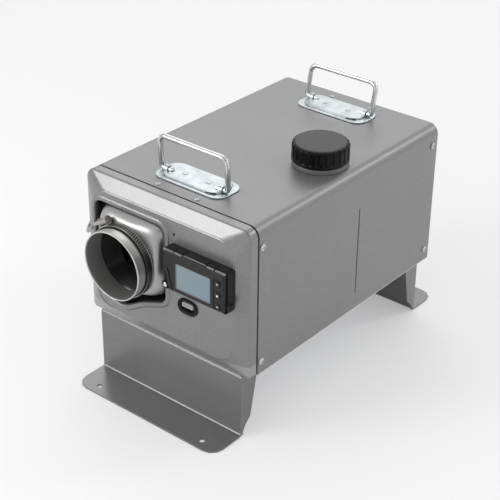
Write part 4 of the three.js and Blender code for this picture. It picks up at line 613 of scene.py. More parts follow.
SLOT_FINISHES = {
    "case_paint": Finish.CASE_PAINT,
    "panel_paint": Finish.PANEL_PAINT,
    "zinc": Finish.ZINC,
    "chrome": Finish.CHROME,
    "brushed": Finish.BRUSHED,
    "cast": Finish.CAST,
    "black_plastic": Finish.BLACK_PLASTIC,
    "control_plastic": Finish.CONTROL_PLASTIC,
    "key_plastic": Finish.KEY_PLASTIC,
    "rubber": Finish.RUBBER,
    "screen": Finish.SCREEN,
    "tank_plastic": Finish.TANK_PLASTIC,
    "brass": Finish.BRASS,
    "board": Finish.BOARD,
}


class Palette:
    """Materials of the finishes, each built once."""

    def __init__(self) -> None:
        """Starts with no material built."""
        self.built: dict[Finish, bpy.types.Material] = {}

    def of(self, finish: Finish) -> bpy.types.Material:
        """Material of a finish, built at its first use.

        Args:
            finish: The finish.

        Returns:
            Its material.
        """
        if finish not in self.built:
            self.built[finish] = finish.value.make()
        return self.built[finish]


PALETTE = Palette()


# ---------------------------------------------------------------- forms


def metres(points: Array) -> Array:
    """Moves points from the seam frame to the part's frame.

    Args:
        points: Points in mm, with y counted from the seam.

    Returns:
        The points in metres, with y counted from the middle of the feet.
    """
    return (points - np.array([0.0, MIDDLE, 0.0])) * MILLIMETRE


def spread(start: float, end: float, count: int) -> Array:
    """Spaces numbers evenly.

    Args:
        start: First number.
        end: Last number.
        count: How many there are, with both ends.

    Returns:
        The numbers.
    """
    return np.linspace(start, end, count)


def eased(start: Array, end: Array, share: Array) -> Array:
    """Goes smoothly from one value to another.

    Args:
        start: Value at a share of 0.
        end: Value at a share of 1.
        share: How far the change has gone.

    Returns:
        start + (end - start)(3s^2 - 2s^3), s being the share held from 0 to 1.
    """
    part = np.clip(share, 0, 1)
    return start + (end - start) * part * part * (3 - 2 * part)


def grid_faces(rows: int, columns: int, wrap_rows: bool = False, wrap_columns: bool = True) -> Array:
    """Quads between neighbouring rows and columns of a grid of points.

    Args:
        rows: Count of rows.
        columns: Count of columns.
        wrap_rows: Whether the last row meets the first.
        wrap_columns: Whether the last column meets the first.

    Returns:
        Point numbers, four for each quad.
    """
    row = np.arange(rows if wrap_rows else rows - 1)[:, None]
    column = np.arange(columns if wrap_columns else columns - 1)[None, :]
    below = (row + 1) % rows
    beside = (column + 1) % columns
    corners = [
        row * columns + column, row * columns + beside, below * columns + beside, below * columns + column,
    ]
    return np.stack(corners, axis=-1).reshape(-1, 4)


def outline(box: Sequence[float], radii: Sequence[float], steps: int = 8) -> Array:
    """Rounded rectangle, a quarter circle at each corner.

    Args:
        box: Left, bottom, right and top.
        radii: Corner radii: lower left, lower right, upper right, upper left.
        steps: Steps of each quarter circle.

    Returns:
        Points (n, 2), each corner point being its centre plus r (cos a, sin a).
    """
    left, bottom, right, top = box
    radius = np.asarray(radii, float)[:, None]
    corner = np.array([[left, bottom], [right, bottom], [right, top], [left, top]])
    inward = np.array([[1, 1], [-1, 1], [-1, -1], [1, -1]])
    centre = corner + inward * radius
    angle = np.pi * (1 + np.arange(4)[:, None] / 2) + spread(0, np.pi / 2, steps + 1)[None, :]
    x = centre[:, :1] + radius * np.cos(angle)
    y = centre[:, 1:] + radius * np.sin(angle)
    return np.stack([x, y], axis=-1).reshape(-1, 2)


def circle(centre: Sequence[float], radius: float, steps: int = 32) -> Array:
    """Circle as points.

    Args:
        centre: Its centre.
        radius: Its radius.
        steps: Count of points.

    Returns:
        Points (steps, 2), each being centre + r (cos a, sin a).
    """
    angle = spread(0, 2 * np.pi, steps + 1)[:-1]
    return np.stack([centre[0] + radius * np.cos(angle), centre[1] + radius * np.sin(angle)], axis=-1)


def filleted(points: Sequence[Sequence[float]], radii: Sequence[float], steps: int = 5) -> Array:
    """Open line whose inner corners are rounded.

    Args:
        points: Corner points (k, 2).
        radii: Run of each inner corner's rounding along its two sides.
        steps: Steps of each rounding.

    Returns:
        The line, each corner being the curve (1-t)^2 a + 2t(1-t) b + t^2 c between two points
        that lie the run away from it.
    """
    line = np.asarray(points, float)
    before = line[:-2] - line[1:-1]
    after = line[2:] - line[1:-1]
    run = np.asarray(radii, float)[:, None]
    start = line[1:-1] + before / np.linalg.norm(before, axis=1, keepdims=True) * run
    end = line[1:-1] + after / np.linalg.norm(after, axis=1, keepdims=True) * run
    t = spread(0, 1, steps + 1)[None, :, None]
    curve = (1 - t) ** 2 * start[:, None] + 2 * t * (1 - t) * line[1:-1, None] + t ** 2 * end[:, None]
    return np.concatenate([line[:1], curve.reshape(-1, 2), line[-1:]])


def along(axis: Axis, side: Array, level: Array) -> Array:
    """Lifts flat points into space.

    Args:
        axis: The axis.
        side: Points (..., 2) across the axis.
        level: Their places along it.

    Returns:
        Points (..., 3).
    """
    points = np.zeros((*side.shape[:-1], 3))
    first, second, third = axis.value
    points[..., first] = side[..., 0]
    points[..., second] = side[..., 1]
    points[..., third] = level
    return points


@dataclass
class Form:
    """Points in mm and the faces between them."""

    points: Array
    faces: list[list[int]]

    @staticmethod
    def rings(rings: Array, caps: bool = True, closed: bool = False) -> "Form":
        """Surface through rings of points.

        Args:
            rings: Points (rows, columns, 3).
            caps: Whether the first and last ring are filled.
            closed: Whether the last ring meets the first.

        Returns:
            The form.
        """
        rows, columns, _ = rings.shape
        faces = grid_faces(rows, columns, wrap_rows=closed).tolist()
        if caps and not closed:
            last = (rows - 1) * columns
            faces += [list(range(columns))[::-1], list(range(last, last + columns))]
        return Form(rings.reshape(-1, 3), faces)

    @staticmethod
    def drawn(shape: Array, start: float, end: float, axis: Axis = Axis.Y) -> "Form":
        """Prism of an outline (n, 2) between two places along an axis."""
        levels = np.array([start, end])[:, None]
        return Form.rings(along(axis, np.broadcast_to(shape, (2, *shape.shape)), levels))

    @staticmethod
    def turned(
        profile: Sequence[Sequence[float]], centre: Sequence[float], axis: Axis, steps: int = 96,
    ) -> "Form":
        """Solid of revolution of a closed profile of [radius, level].

        Args:
            profile: Profile points in order round its edge.
            centre: Place of the axis across itself.
            axis: Direction of the axis.
            steps: Steps round the axis.

        Returns:
            The form, each point being centre + r (cos a, sin a) at its level.
        """
        line = np.asarray(profile, float)
        angle = spread(0, 2 * np.pi, steps + 1)[:-1][:, None]
        x = centre[0] + line[None, :, 0] * np.cos(angle)
        y = centre[1] + line[None, :, 0] * np.sin(angle)
        level = np.broadcast_to(line[None, :, 1], x.shape)
        return Form.rings(along(axis, np.stack([x, y], axis=-1), level), closed=True)

    @staticmethod
    def wire(path: Array, normal: Sequence[float], radius: float, sides: int = 20) -> "Form":
        """Round wire along a flat path.

        Args:
            path: Points (n, 3) in one plane.
            normal: Normal of that plane.
            radius: Radius of the wire.
            sides: Sides of its section.

        Returns:
            The form: path + r (cos a (n x t) + sin a n), t being the path's direction.
        """
        direction = np.gradient(path, axis=0)
        direction /= np.linalg.norm(direction, axis=1, keepdims=True)
        flat = np.asarray(normal, float)
        across = np.cross(flat, direction)
        angle = spread(0, 2 * np.pi, sides + 1)[:-1][None, :, None]
        rings = path[:, None] + radius * (np.cos(angle) * across[:, None] + np.sin(angle) * flat)
        return Form.rings(rings)

    def moved(self, x: float = 0.0, y: float = 0.0, z: float = 0.0) -> "Form":
        """This form in another place."""
        return Form(self.points + np.array([x, y, z]), self.faces)

    def mapped(self, matrix: Array, place: Array) -> "Form":
        """This form with its axes on the rows of a matrix, at a place."""
        return Form(self.points @ np.asarray(matrix, float) + place, self.faces)

    def mirrored(self, x: float = 0.0) -> "Form":
        """This form on the other side of the plane at x."""
        points = self.points * np.array([-1, 1, 1]) + np.array([2 * x, 0, 0])
        return Form(points, [face[::-1] for face in self.faces])


def joined(*forms: Form) -> Form:
    """Puts several forms in one.

    Args:
        forms: The forms.

    Returns:
        One form with all their points, each face pointing at its own form's points.
    """
    offsets = np.cumsum([0] + [len(form.points) for form in forms])
    faces = [
        [int(offset) + index for index in face]
        for form, offset in zip(forms, offsets) for face in form.faces
    ]
    return Form(np.concatenate([form.points for form in forms]), faces)


def mesh_object(name: str, form: Form) -> bpy.types.Object:
    """Makes an object of a form.

    Args:
        name: Name of the object.
        form: The form.

    Returns:
        The object, its doubles merged and its faces turned outwards.
    """
    mesh = bpy.data.meshes.new(name)
    mesh.from_pydata(metres(form.points).tolist(), [], form.faces)
    working = bmesh.new()
    working.from_mesh(mesh)
    bmesh.ops.remove_doubles(working, verts=working.verts, dist=2e-6)
    bmesh.ops.recalc_face_normals(working, faces=working.faces)
    working.to_mesh(mesh)
    working.free()
    obj = bpy.data.objects.new(name, mesh)
    bpy.context.scene.collection.objects.link(obj)
    return obj


def settled(obj: bpy.types.Object) -> None:
    """Puts what the object's modifiers make into its mesh.

    Args:
        obj: The object.
    """
    bpy.context.view_layer.update()
    graph = bpy.context.evaluated_depsgraph_get()
    mesh = bpy.data.meshes.new_from_object(obj.evaluated_get(graph))
    old = obj.data
    obj.modifiers.clear()
    obj.data = mesh
    bpy.data.meshes.remove(old)


class Joining(Enum):
    """Ways in which one solid changes another."""

    CUT = "DIFFERENCE"
    ADD = "UNION"
    KEEP = "INTERSECT"


def worked(obj: bpy.types.Object, *tools: tuple[Joining, Form]) -> None:
    """Cuts or joins forms on an object, in order.

    Args:
        obj: The object.
        tools: Pairs of a way and a form.
    """
    helpers = []
    for index, (way, form) in enumerate(tools):
        helper = mesh_object(f"helper_{index}", form)
        modifier = obj.modifiers.new("work", "BOOLEAN")
        modifier.operation = way.value
        modifier.solver = "EXACT"
        modifier.object = helper
        helpers.append(helper)
    settled(obj)
    for helper in helpers:
        bpy.data.objects.remove(helper)


def soften(obj: bpy.types.Object, edge: float, smooth: float) -> None:
    """Rounds the edges and shades the faces smoothly up to the crease angle.

    Args:
        obj: The object.
        edge: Width of the rounding in mm, or 0 for none.
        smooth: Crease angle in degrees.
    """
    angle = math.radians(smooth)
    obj.data.polygons.foreach_set("use_smooth", np.ones(len(obj.data.polygons), bool))
    if edge:
        modifier = obj.modifiers.new("edges", "BEVEL")
        modifier.width = edge * MILLIMETRE
        modifier.segments = 2
        modifier.limit_method = "ANGLE"
        modifier.angle_limit = angle
        modifier.harden_normals = False
    else:
        obj.data.set_sharp_from_angle(angle=angle)
    weighted = obj.modifiers.new("normals", "WEIGHTED_NORMAL")
    weighted.keep_sharp = True
    weighted.weight = 80


@dataclass
class Piece:
    """One finished piece: its object, body, finish and the nodes that it stands for."""

    name: str
    form: Form
    finish: Finish
    body: str = "case"
    replaces: Sequence[str] = ()
    wall: float = 0.0
    edge: float = 0.0
    smooth: float = 40.0
    work: Sequence[tuple[Joining, Form]] = ()

    def build(self) -> bpy.types.Object:
        """Makes the object, dresses it and hangs it on its body.

        Returns:
            The finished object.
        """
        obj = mesh_object(self.name, self.form)
        if self.wall:
            modifier = obj.modifiers.new("wall", "SOLIDIFY")
            modifier.thickness = abs(self.wall) * MILLIMETRE
            modifier.offset = -1.0 if self.wall > 0 else 1.0
            modifier.use_even_offset = True
            settled(obj)
        if self.work:
            worked(obj, *self.work)
        soften(obj, self.edge, self.smooth)
        obj.data.materials.clear()
        obj.data.materials.append(PALETTE.of(self.finish))
        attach(obj, self.body)
        if self.replaces:
            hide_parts(*self.replaces)
        LOG.info("%s on %s: %d faces", self.name, self.body, len(obj.data.polygons))
        return obj


# ---------------------------------------------------------------- case


@dataclass(frozen=True)
class CaseSizes:
    """Sizes of the case in mm; boxes are (left, low, right, high)."""

    side: float = 117.5
    bottom: float = 81.0
    top: float = 261.0
    depth: float = 336.0
    sheet: float = 1.2
    corner: float = 12.5
    lower_corner: float = 5.0
    seam: float = 2.0
    rim: float = 11.0
    face: float = 19.8
    bevel_inset: float = 16.0
    face_corner: float = 24.0
    opening: tuple[float, float, float, float] = (-97.5, 138.5, 5.5, 231.5)
    dip: tuple[tuple[float, float], ...] = ((-85.0, 112.0), (-59.0, 107.5), (-30.0, 125.0))
    port: tuple[float, float, float, float] = (26.2, 137.8, 49.8, 153.0)
    pin_hole: tuple[float, float] = (19.7, 227.8)
    sight_slot: tuple[float, float, float, float] = (179.0, 102.0, 181.0, 212.0)
    filler: tuple[float, float] = (73.5, 162.0)
    filler_hole: float = 26.0


@dataclass
class Enclosure:
    """Sleeve, front panel, the sleeve's hems and the strip behind the sight slot."""

    sizes: CaseSizes = field(default_factory=CaseSizes)

    def sleeve(self) -> Piece:
        """Bent sheet over the top and both sides.

        Returns:
            The sheet: an outline offset by its wall, drawn along the depth, with its sight slot.
        """
        s = self.sizes
        outer = outline((-s.side, s.bottom, s.side, s.top), (0.01, 0.01, s.corner, s.corner), 12)
        reach = s.side - s.sheet
        small = s.corner - s.sheet
        inner = outline((-reach, s.bottom - 1, reach, s.top - s.sheet), (0.01, 0.01, small, small), 12)
        slot = outline(s.sight_slot, (0.95,) * 4, 4)
        filler = circle(s.filler, s.filler_hole, 48)
        return Piece(
            "sleeve", Form.drawn(outer, s.seam, s.depth), Finish.CASE_PAINT, replaces=["case_sleeve"],
            edge=0.25, work=[
                (Joining.CUT, Form.drawn(inner, -5, s.depth + 5)),
                (Joining.CUT, Form.drawn(slot, 110, 125, Axis.X)),
                (Joining.CUT, Form.drawn(filler, 250, 270, Axis.Z)),
            ],
        )

    def panel_section(self, inset: Array, lower: float, upper: float, share: Array) -> Array:
        """Rounded rectangles of the panel, inset from the case's outline.

        Args:
            inset: Inset of each ring.
            lower: Radius of the lower corners at the rim.
            upper: Radius of the upper corners at the rim.
            share: How far each ring has gone from rim to face.

        Returns:
            Points (rows, n, 2).
        """
        s = self.sizes
        rings = []
        for off, part in zip(inset, share):
            radii = [eased(start, s.face_corner, part) for start in (lower, lower, upper, upper)]
            box = (off - s.side, s.bottom + off, s.side - off, s.top - off)
            rings.append(outline(box, [max(radius - min(off, 2), 0.8) for radius in radii], 10))
        return np.array(rings)

    def front_panel(self) -> Piece:
        """Pressed pan with its raised frame round the duct opening.

        Returns:
            A sheet, a filleted line of (depth, inset) carried round the panel's outline, joined to
            the frame and pierced for the duct, the pin and the port.
        """
        s = self.sizes
        line = filleted(
            [(13, 2.5), (0.2, 2.5), (0.0, 0.0), (-s.rim, 0.0), (-s.face + 0.9, s.bevel_inset - 0.8),
             (-s.face + 0.7, s.bevel_inset), (-s.face, s.bevel_inset + 1.0), (-s.face, 19.0)],
            [0.1, 0.7, 2.0, 0.35, 0.35, 0.5], 4,
        )
        share = np.clip(line[:, 1] / s.bevel_inset, 0, 1)
        outer = self.panel_section(line[:, 1], s.lower_corner, s.corner, share)
        rings = along(Axis.Y, outer, line[:, :1])
        pan = Form.rings(rings, caps=False)
        last = (len(rings) - 1) * rings.shape[1]
        pan.faces.append(list(range(last, last + rings.shape[1])))
        front, back = -30, -10  # the cutters reach through the face
        return Piece(
            "front_pan", pan, Finish.PANEL_PAINT, replaces=["front_panel"], wall=s.sheet, smooth=35, work=[
                (Joining.ADD, self.frame()),
                (Joining.CUT, Form.drawn(self.opening(0.0), front, back)),
                (Joining.CUT, Form.drawn(outline(s.port, (7.5,) * 4, 8), front, back)),
                (Joining.CUT, self.crease()),
                (Joining.CUT, Form.drawn(circle(s.pin_hole, 1.6, 20), front, back)),
            ],
        )

    def opening(self, margin: float) -> Array:
        """Outline of the duct opening, whose lower edge dips under the spigot.

        Args:
            margin: How far the outline is moved outwards.

        Returns:
            Points (n, 2) of the filleted outline, each moved along its normal.
        """
        left, low, right, high = self.sizes.opening
        start = (-45, high)
        corners = [start, (left, high), (left, 146), *self.sizes.dip, (right, low), (right, high), start]
        line = filleted(corners, [11.5, 12, 11, 12, 11, 9, 11.5], 10)[:-1]
        ahead = np.roll(line, -1, axis=0) - np.roll(line, 1, axis=0)
        normal = np.stack([ahead[:, 1], -ahead[:, 0]], axis=-1) / np.linalg.norm(ahead, axis=1, keepdims=True)
        return line + margin * normal

    def frame(self) -> Form:
        """Raised frame of the opening.

        Returns:
            A filleted line of (margin, depth), carried round the opening and closed behind.
        """
        face = self.sizes.face
        front = filleted([(11.0, -face + 4.2), (5.2, -face - 1.5), (0.9, -face - 1.5), (-0.6, -face + 1.2)],
                         [1.6, 1.1], 5)
        line = np.concatenate([front, [(-0.6, -face + 4.2)]])
        rings = np.array([self.opening(margin) for margin in line[:, 0]])
        return Form.rings(along(Axis.Y, rings, line[:, 1:]), closed=True)

    def hems(self) -> Piece:
        """Rolled lower edges of the sleeve's sides.

        Returns:
            Two rounded strips along the depth, mirrored about the middle, in a paler paint that is painted
            highlight on the rolled edges.
        """
        s = self.sizes
        strip = outline((s.side - 0.9, s.bottom - 0.35, s.side + 0.12, s.bottom + 0.65), (0.45,) * 4, 4)
        right = Form.drawn(strip, s.seam + 2, s.depth - 6)
        return Piece("sleeve_hems", joined(right, right.mirrored()), Finish.HEM_HIGHLIGHT_PAINT)

    def sight(self) -> Piece:
        """Grey strip behind the sight slot."""
        strip = outline((178.2, 100.5, 181.8, 213.5), (1.6,) * 4, 4)
        return Piece("sight_strip", Form.drawn(strip, 115.2, 116.8, Axis.X), Finish.SIGHT_PLASTIC)

    def crease(self) -> Form:
        """Groove along the face's lower edge.

        Returns:
            A strip 1.6 mm wide on both sides of the corner's arc and the straight that follows it.
        """
        s = self.sizes
        turn = spread(np.pi * 1.05, 1.5 * np.pi, 24)
        middle = np.array([-s.side + s.bevel_inset + s.face_corner, s.bottom + s.bevel_inset + s.face_corner])
        sides = []
        for reach in (s.face_corner + 0.05, s.face_corner - 1.55):
            arc = middle + reach * np.stack([np.cos(turn), np.sin(turn)], axis=-1)
            sides.append(np.concatenate([arc, [[79.0, middle[1] - reach]]]))
        return Form.drawn(np.concatenate([sides[0], sides[1][::-1]]), -s.face - 2, -s.face + 0.95)

    def build(self) -> None:
        """Builds the sleeve, the front panel, the sleeve's hems and the sight strip."""
        for piece in (self.sleeve(), self.front_panel(), self.hems(), self.sight()):
            piece.build()


# ---------------------------------------------------------------- duct outlet


@dataclass
class DuctOutlet:
    """Hood, spigot, seal, slotted band and the worm screw with its wing."""

    x: float = DUCT[0]
    z: float = DUCT[2]
    radius: float = 40.0
    wall: float = 1.2
    mouth: float = -53.5
    seat: float = -29.7
    hood_box: tuple[float, float, float, float] = (-87.2, 143.8, 5.0, 230.6)
    bend: float = -16.0
    band: tuple[float, float] = (-40.3, -31.0)
    band_radius: float = 41.6
    worm_reach: float = 47.4
    clamp_angle: float = 122.0
    wing_turn: float = 51.0

    def hood(self) -> Piece:
        """Drawn hood from a rounded square to the round neck.

        Returns:
            A sheet whose outline is the superellipse |x/a|^n + |z/b|^n = 1, with n, a, b and the
            centre going to those of the neck over a quarter ellipse in depth.
        """
        left, bottom, right, top = self.hood_box
        centre = np.array([(left + right) / 2, (bottom + top) / 2])
        half = np.array([(right - left) / 2, (top - bottom) / 2])
        turn = spread(0, np.pi / 2, 22)
        share = 0.55 * (1 - np.cos(turn)) + 0.45 * (turn / (np.pi / 2)) ** 1.15
        depth = self.bend + (self.seat - self.bend) * np.sin(turn)
        neck = self.radius - 0.2
        share = np.concatenate([[0, 0], share])
        depth = np.concatenate([[5.5, -5], depth])
        power = 2 + 5.0 * (1 - share) ** 1.6
        a = half[0] + (neck - half[0]) * share
        b = half[1] + (neck - half[1]) * share
        x0 = centre[0] + (self.x - centre[0]) * share
        z0 = centre[1] + (self.z - centre[1]) * share
        angle = spread(0, 2 * np.pi, 129)[:-1][None, :]
        across = np.abs(np.cos(angle)) ** power[:, None] / a[:, None] ** power[:, None]
        upwards = np.abs(np.sin(angle)) ** power[:, None] / b[:, None] ** power[:, None]
        reach = (across + upwards) ** (-1 / power[:, None])
        side = np.stack([x0[:, None] + reach * np.cos(angle), z0[:, None] + reach * np.sin(angle)], axis=-1)
        form = Form.rings(along(Axis.Y, side, depth[:, None]), caps=False)
        return Piece("hood", form, Finish.HOOD_STEEL, replaces=["outlet_hood"], wall=-1.0, smooth=60)

    def spigot(self) -> Piece:
        """Spigot with a rolled mouth and a bead before the clamp.

        Returns:
            A wall profile turned round the duct's axis.
        """
        r, w, front = self.radius, self.wall, self.mouth
        outside = [
            (r - 0.2, front + 0.5), (r + 0.45, front + 0.25), (r + 0.8, front + 0.9), (r + 0.5, front + 1.6),
            (r, front + 2.2), (r, front + 9.4), (r + 0.25, front + 10.0), (r, front + 10.6), (r, self.seat),
        ]
        inside = [
            (r - w, self.seat), (r - w, front + 2.0), (r - w + 0.3, front + 0.7),
            (r - w + 0.6, front + 0.2), (r - 0.5, front),
        ]
        form = Form.turned(outside + inside, (self.x, self.z), Axis.Y, 144)
        return Piece("spigot", form, Finish.BRUSHED, replaces=["duct_spigot"], smooth=50)

    def seal(self) -> Piece:
        """Black sealing ring with a fine rib before the band.

        Returns:
            A wall profile turned round the duct's axis.
        """
        r = self.radius + 0.3
        line = [
            (r, -41.5), (r + 0.8, -41.5), (r + 1.0, -41.2), (r + 0.7, -40.9), (r + 0.7, -40.7),
            (r + 1, -40.4), (r + 1, -30.6), (r + 0.8, -30.0), (r, -30.0),
        ]
        form = Form.turned(line, (self.x, self.z), Axis.Y, 144)
        return Piece("seal_ring", form, Finish.RUBBER, replaces=["spigot_seal"])

    def clamp_band(self) -> Piece:
        """Steel band with rolled edges.

        Returns:
            A thin wall profile turned round the duct's axis.
        """
        low, high = self.band
        r = self.band_radius
        line = [
            (r, low), (r + 0.75, low), (r + 0.8, low + 0.9), (r + 0.45, low + 1.3),
            (r + 0.45, high - 1.3), (r + 0.8, high - 0.9), (r + 0.75, high), (r, high),
        ]
        form = Form.turned(line, (self.x, self.z), Axis.Y, 144)
        return Piece("worm_band", form, Finish.BAND_STEEL, replaces=["clamp_band"])

    def band_slots(self) -> Piece:
        """Slanted slots in the band, all but under the housing.

        Returns:
            Thin dark bars, one every 4 degrees, each turned by its angle round the duct's axis and
            slanted by 0.5 mm along it.
        """
        angle = np.radians(spread(-222, 106, 83))[:, None]
        half = np.array([[-0.55, -1, 0], [0.55, -1, 0], [0.55, 1, 0], [-0.55, 1, 0],
                         [-0.55, -1, 1], [0.55, -1, 1], [0.55, 1, 1], [-0.55, 1, 1]])
        depth = (self.band[0] + self.band[1]) / 2 + 3.0 * half[None, :, 1]
        reach = 41.9 + 0.32 * half[None, :, 2]
        turn = angle + (half[None, :, 0] + 0.7 * half[None, :, 1]) / 42
        points = np.stack([
            self.x + reach * np.cos(turn),
            np.broadcast_to(depth, turn.shape),
            self.z + reach * np.sin(turn),
        ], axis=-1).reshape(-1, 3)
        box = np.array([[0, 3, 2, 1], [4, 5, 6, 7], [0, 1, 5, 4], [1, 2, 6, 5], [2, 3, 7, 6], [3, 0, 4, 7]])
        faces = (box[None] + 8 * np.arange(len(angle))[:, None, None]).reshape(-1, 4).tolist()
        return Piece("band_slots", Form(points, faces), Finish.RUBBER)

    def clamp_frame(self) -> tuple[Array, Array]:
        """Frame of the clamp's screw.

        Returns:
            Its axes as rows (along, depth, outwards), and the screw's middle.
        """
        angle = math.radians(self.clamp_angle)
        outwards = np.array([math.cos(angle), 0, math.sin(angle)])
        forward = np.array([-math.sin(angle), 0, math.cos(angle)])
        middle = np.array([self.x, sum(self.band) / 2, self.z]) + self.worm_reach * outwards
        return np.array([forward, [0, 1, 0], outwards]), middle

    def housing(self) -> Piece:
        """Pressed housing over the worm.

        Returns:
            An open shell that covers 250 degrees of the worm, two collars and a saddle on the band.
        """
        axes, middle = self.clamp_frame()
        angle = spread(math.radians(-215), math.radians(35), 30)
        arc = np.stack([np.cos(angle), np.sin(angle)], axis=-1)
        outer, inner = 4.6 * arc, (3.75 * arc)[::-1]
        shell = Form.drawn(np.concatenate([outer, inner]), -6.6, 6.6, Axis.X)
        ring = [(3.75, 0), (4.7, 0), (4.7, 1.5), (3.75, 1.5)]
        collars = [
            Form.turned([(r, level + start) for r, level in ring], (0, 0), Axis.X, 32)
            for start in (-7.2, 5.7)
        ]
        saddle = Form.drawn(outline((-7.5, -4.6, 7.5, 4.6), (1.6,) * 4, 4), -5.2, -4.4, Axis.Z)
        return Piece("worm_housing", joined(shell, *collars, saddle).mapped(axes, middle), Finish.CLAMP_STEEL,
                     replaces=["clamp_housing"], edge=0.12, smooth=35)

    def screw(self) -> Piece:
        """Worm screw: a helical thread, a neck and a two-lobed wing with a hole.

        Returns:
            The worm r = 3.05 + 0.4 cos(2 pi t / 1.7 - a) along t, its neck, and the wing
            r = 7.2 - 1.6 cos 2a + 0.4 cos a round a hole, turned round the screw as in the photograph.
        """
        axes, middle = self.clamp_frame()
        level = spread(-6.4, 6.4, 61)[:, None]
        angle = spread(0, 2 * np.pi, 33)[:-1][None, :]
        reach = 3.05 + 0.4 * np.cos(2 * np.pi * level / 1.7 - angle)
        side = np.stack([reach * np.cos(angle), reach * np.sin(angle)], axis=-1)
        worm = Form.rings(along(Axis.X, side, np.broadcast_to(level, reach.shape)))
        neck = Form.turned([(0, 6.3), (2.2, 6.3), (2.2, 18.6), (1.5, 20.6), (0, 20.6)], (0, 0), Axis.X, 24)
        turn = spread(0, 2 * np.pi, 65)[:-1]
        ring = np.stack([np.cos(turn), np.sin(turn)], axis=-1)
        lobe = (7.2 - 1.6 * np.cos(2 * turn) + 0.4 * np.cos(turn))[:, None]
        centre = np.array([25.4, 0.0])
        hole = np.array([26.2, 0.0]) + ring * np.array([2.2, 2.3])
        loops = np.array([centre + (lobe - 0.25) * ring, centre + lobe * ring, hole, hole])
        depth = np.array([-0.8, 0.55, 0.8, -0.8])[:, None]
        lean, rise = math.sin(math.radians(self.wing_turn)), math.cos(math.radians(self.wing_turn))
        flat = Form.rings(along(Axis.Y, loops, np.broadcast_to(depth, (4, 64))), closed=True)
        wing = flat.mapped(np.array([[1, 0, 0], [0, rise, -lean], [0, lean, rise]]), np.zeros(3))
        form = joined(worm, neck, wing).mapped(axes, middle)
        return Piece("worm_screw", form, Finish.CLAMP_STEEL, "clamp_worm", ["clamp_screw"], smooth=45)

    def build(self) -> None:
        """Builds every piece of the outlet."""
        for piece in (self.hood(), self.spigot(), self.seal(), self.clamp_band(), self.band_slots(),
                      self.housing(), self.screw()):
            piece.build()


# ---------------------------------------------------------------- handles


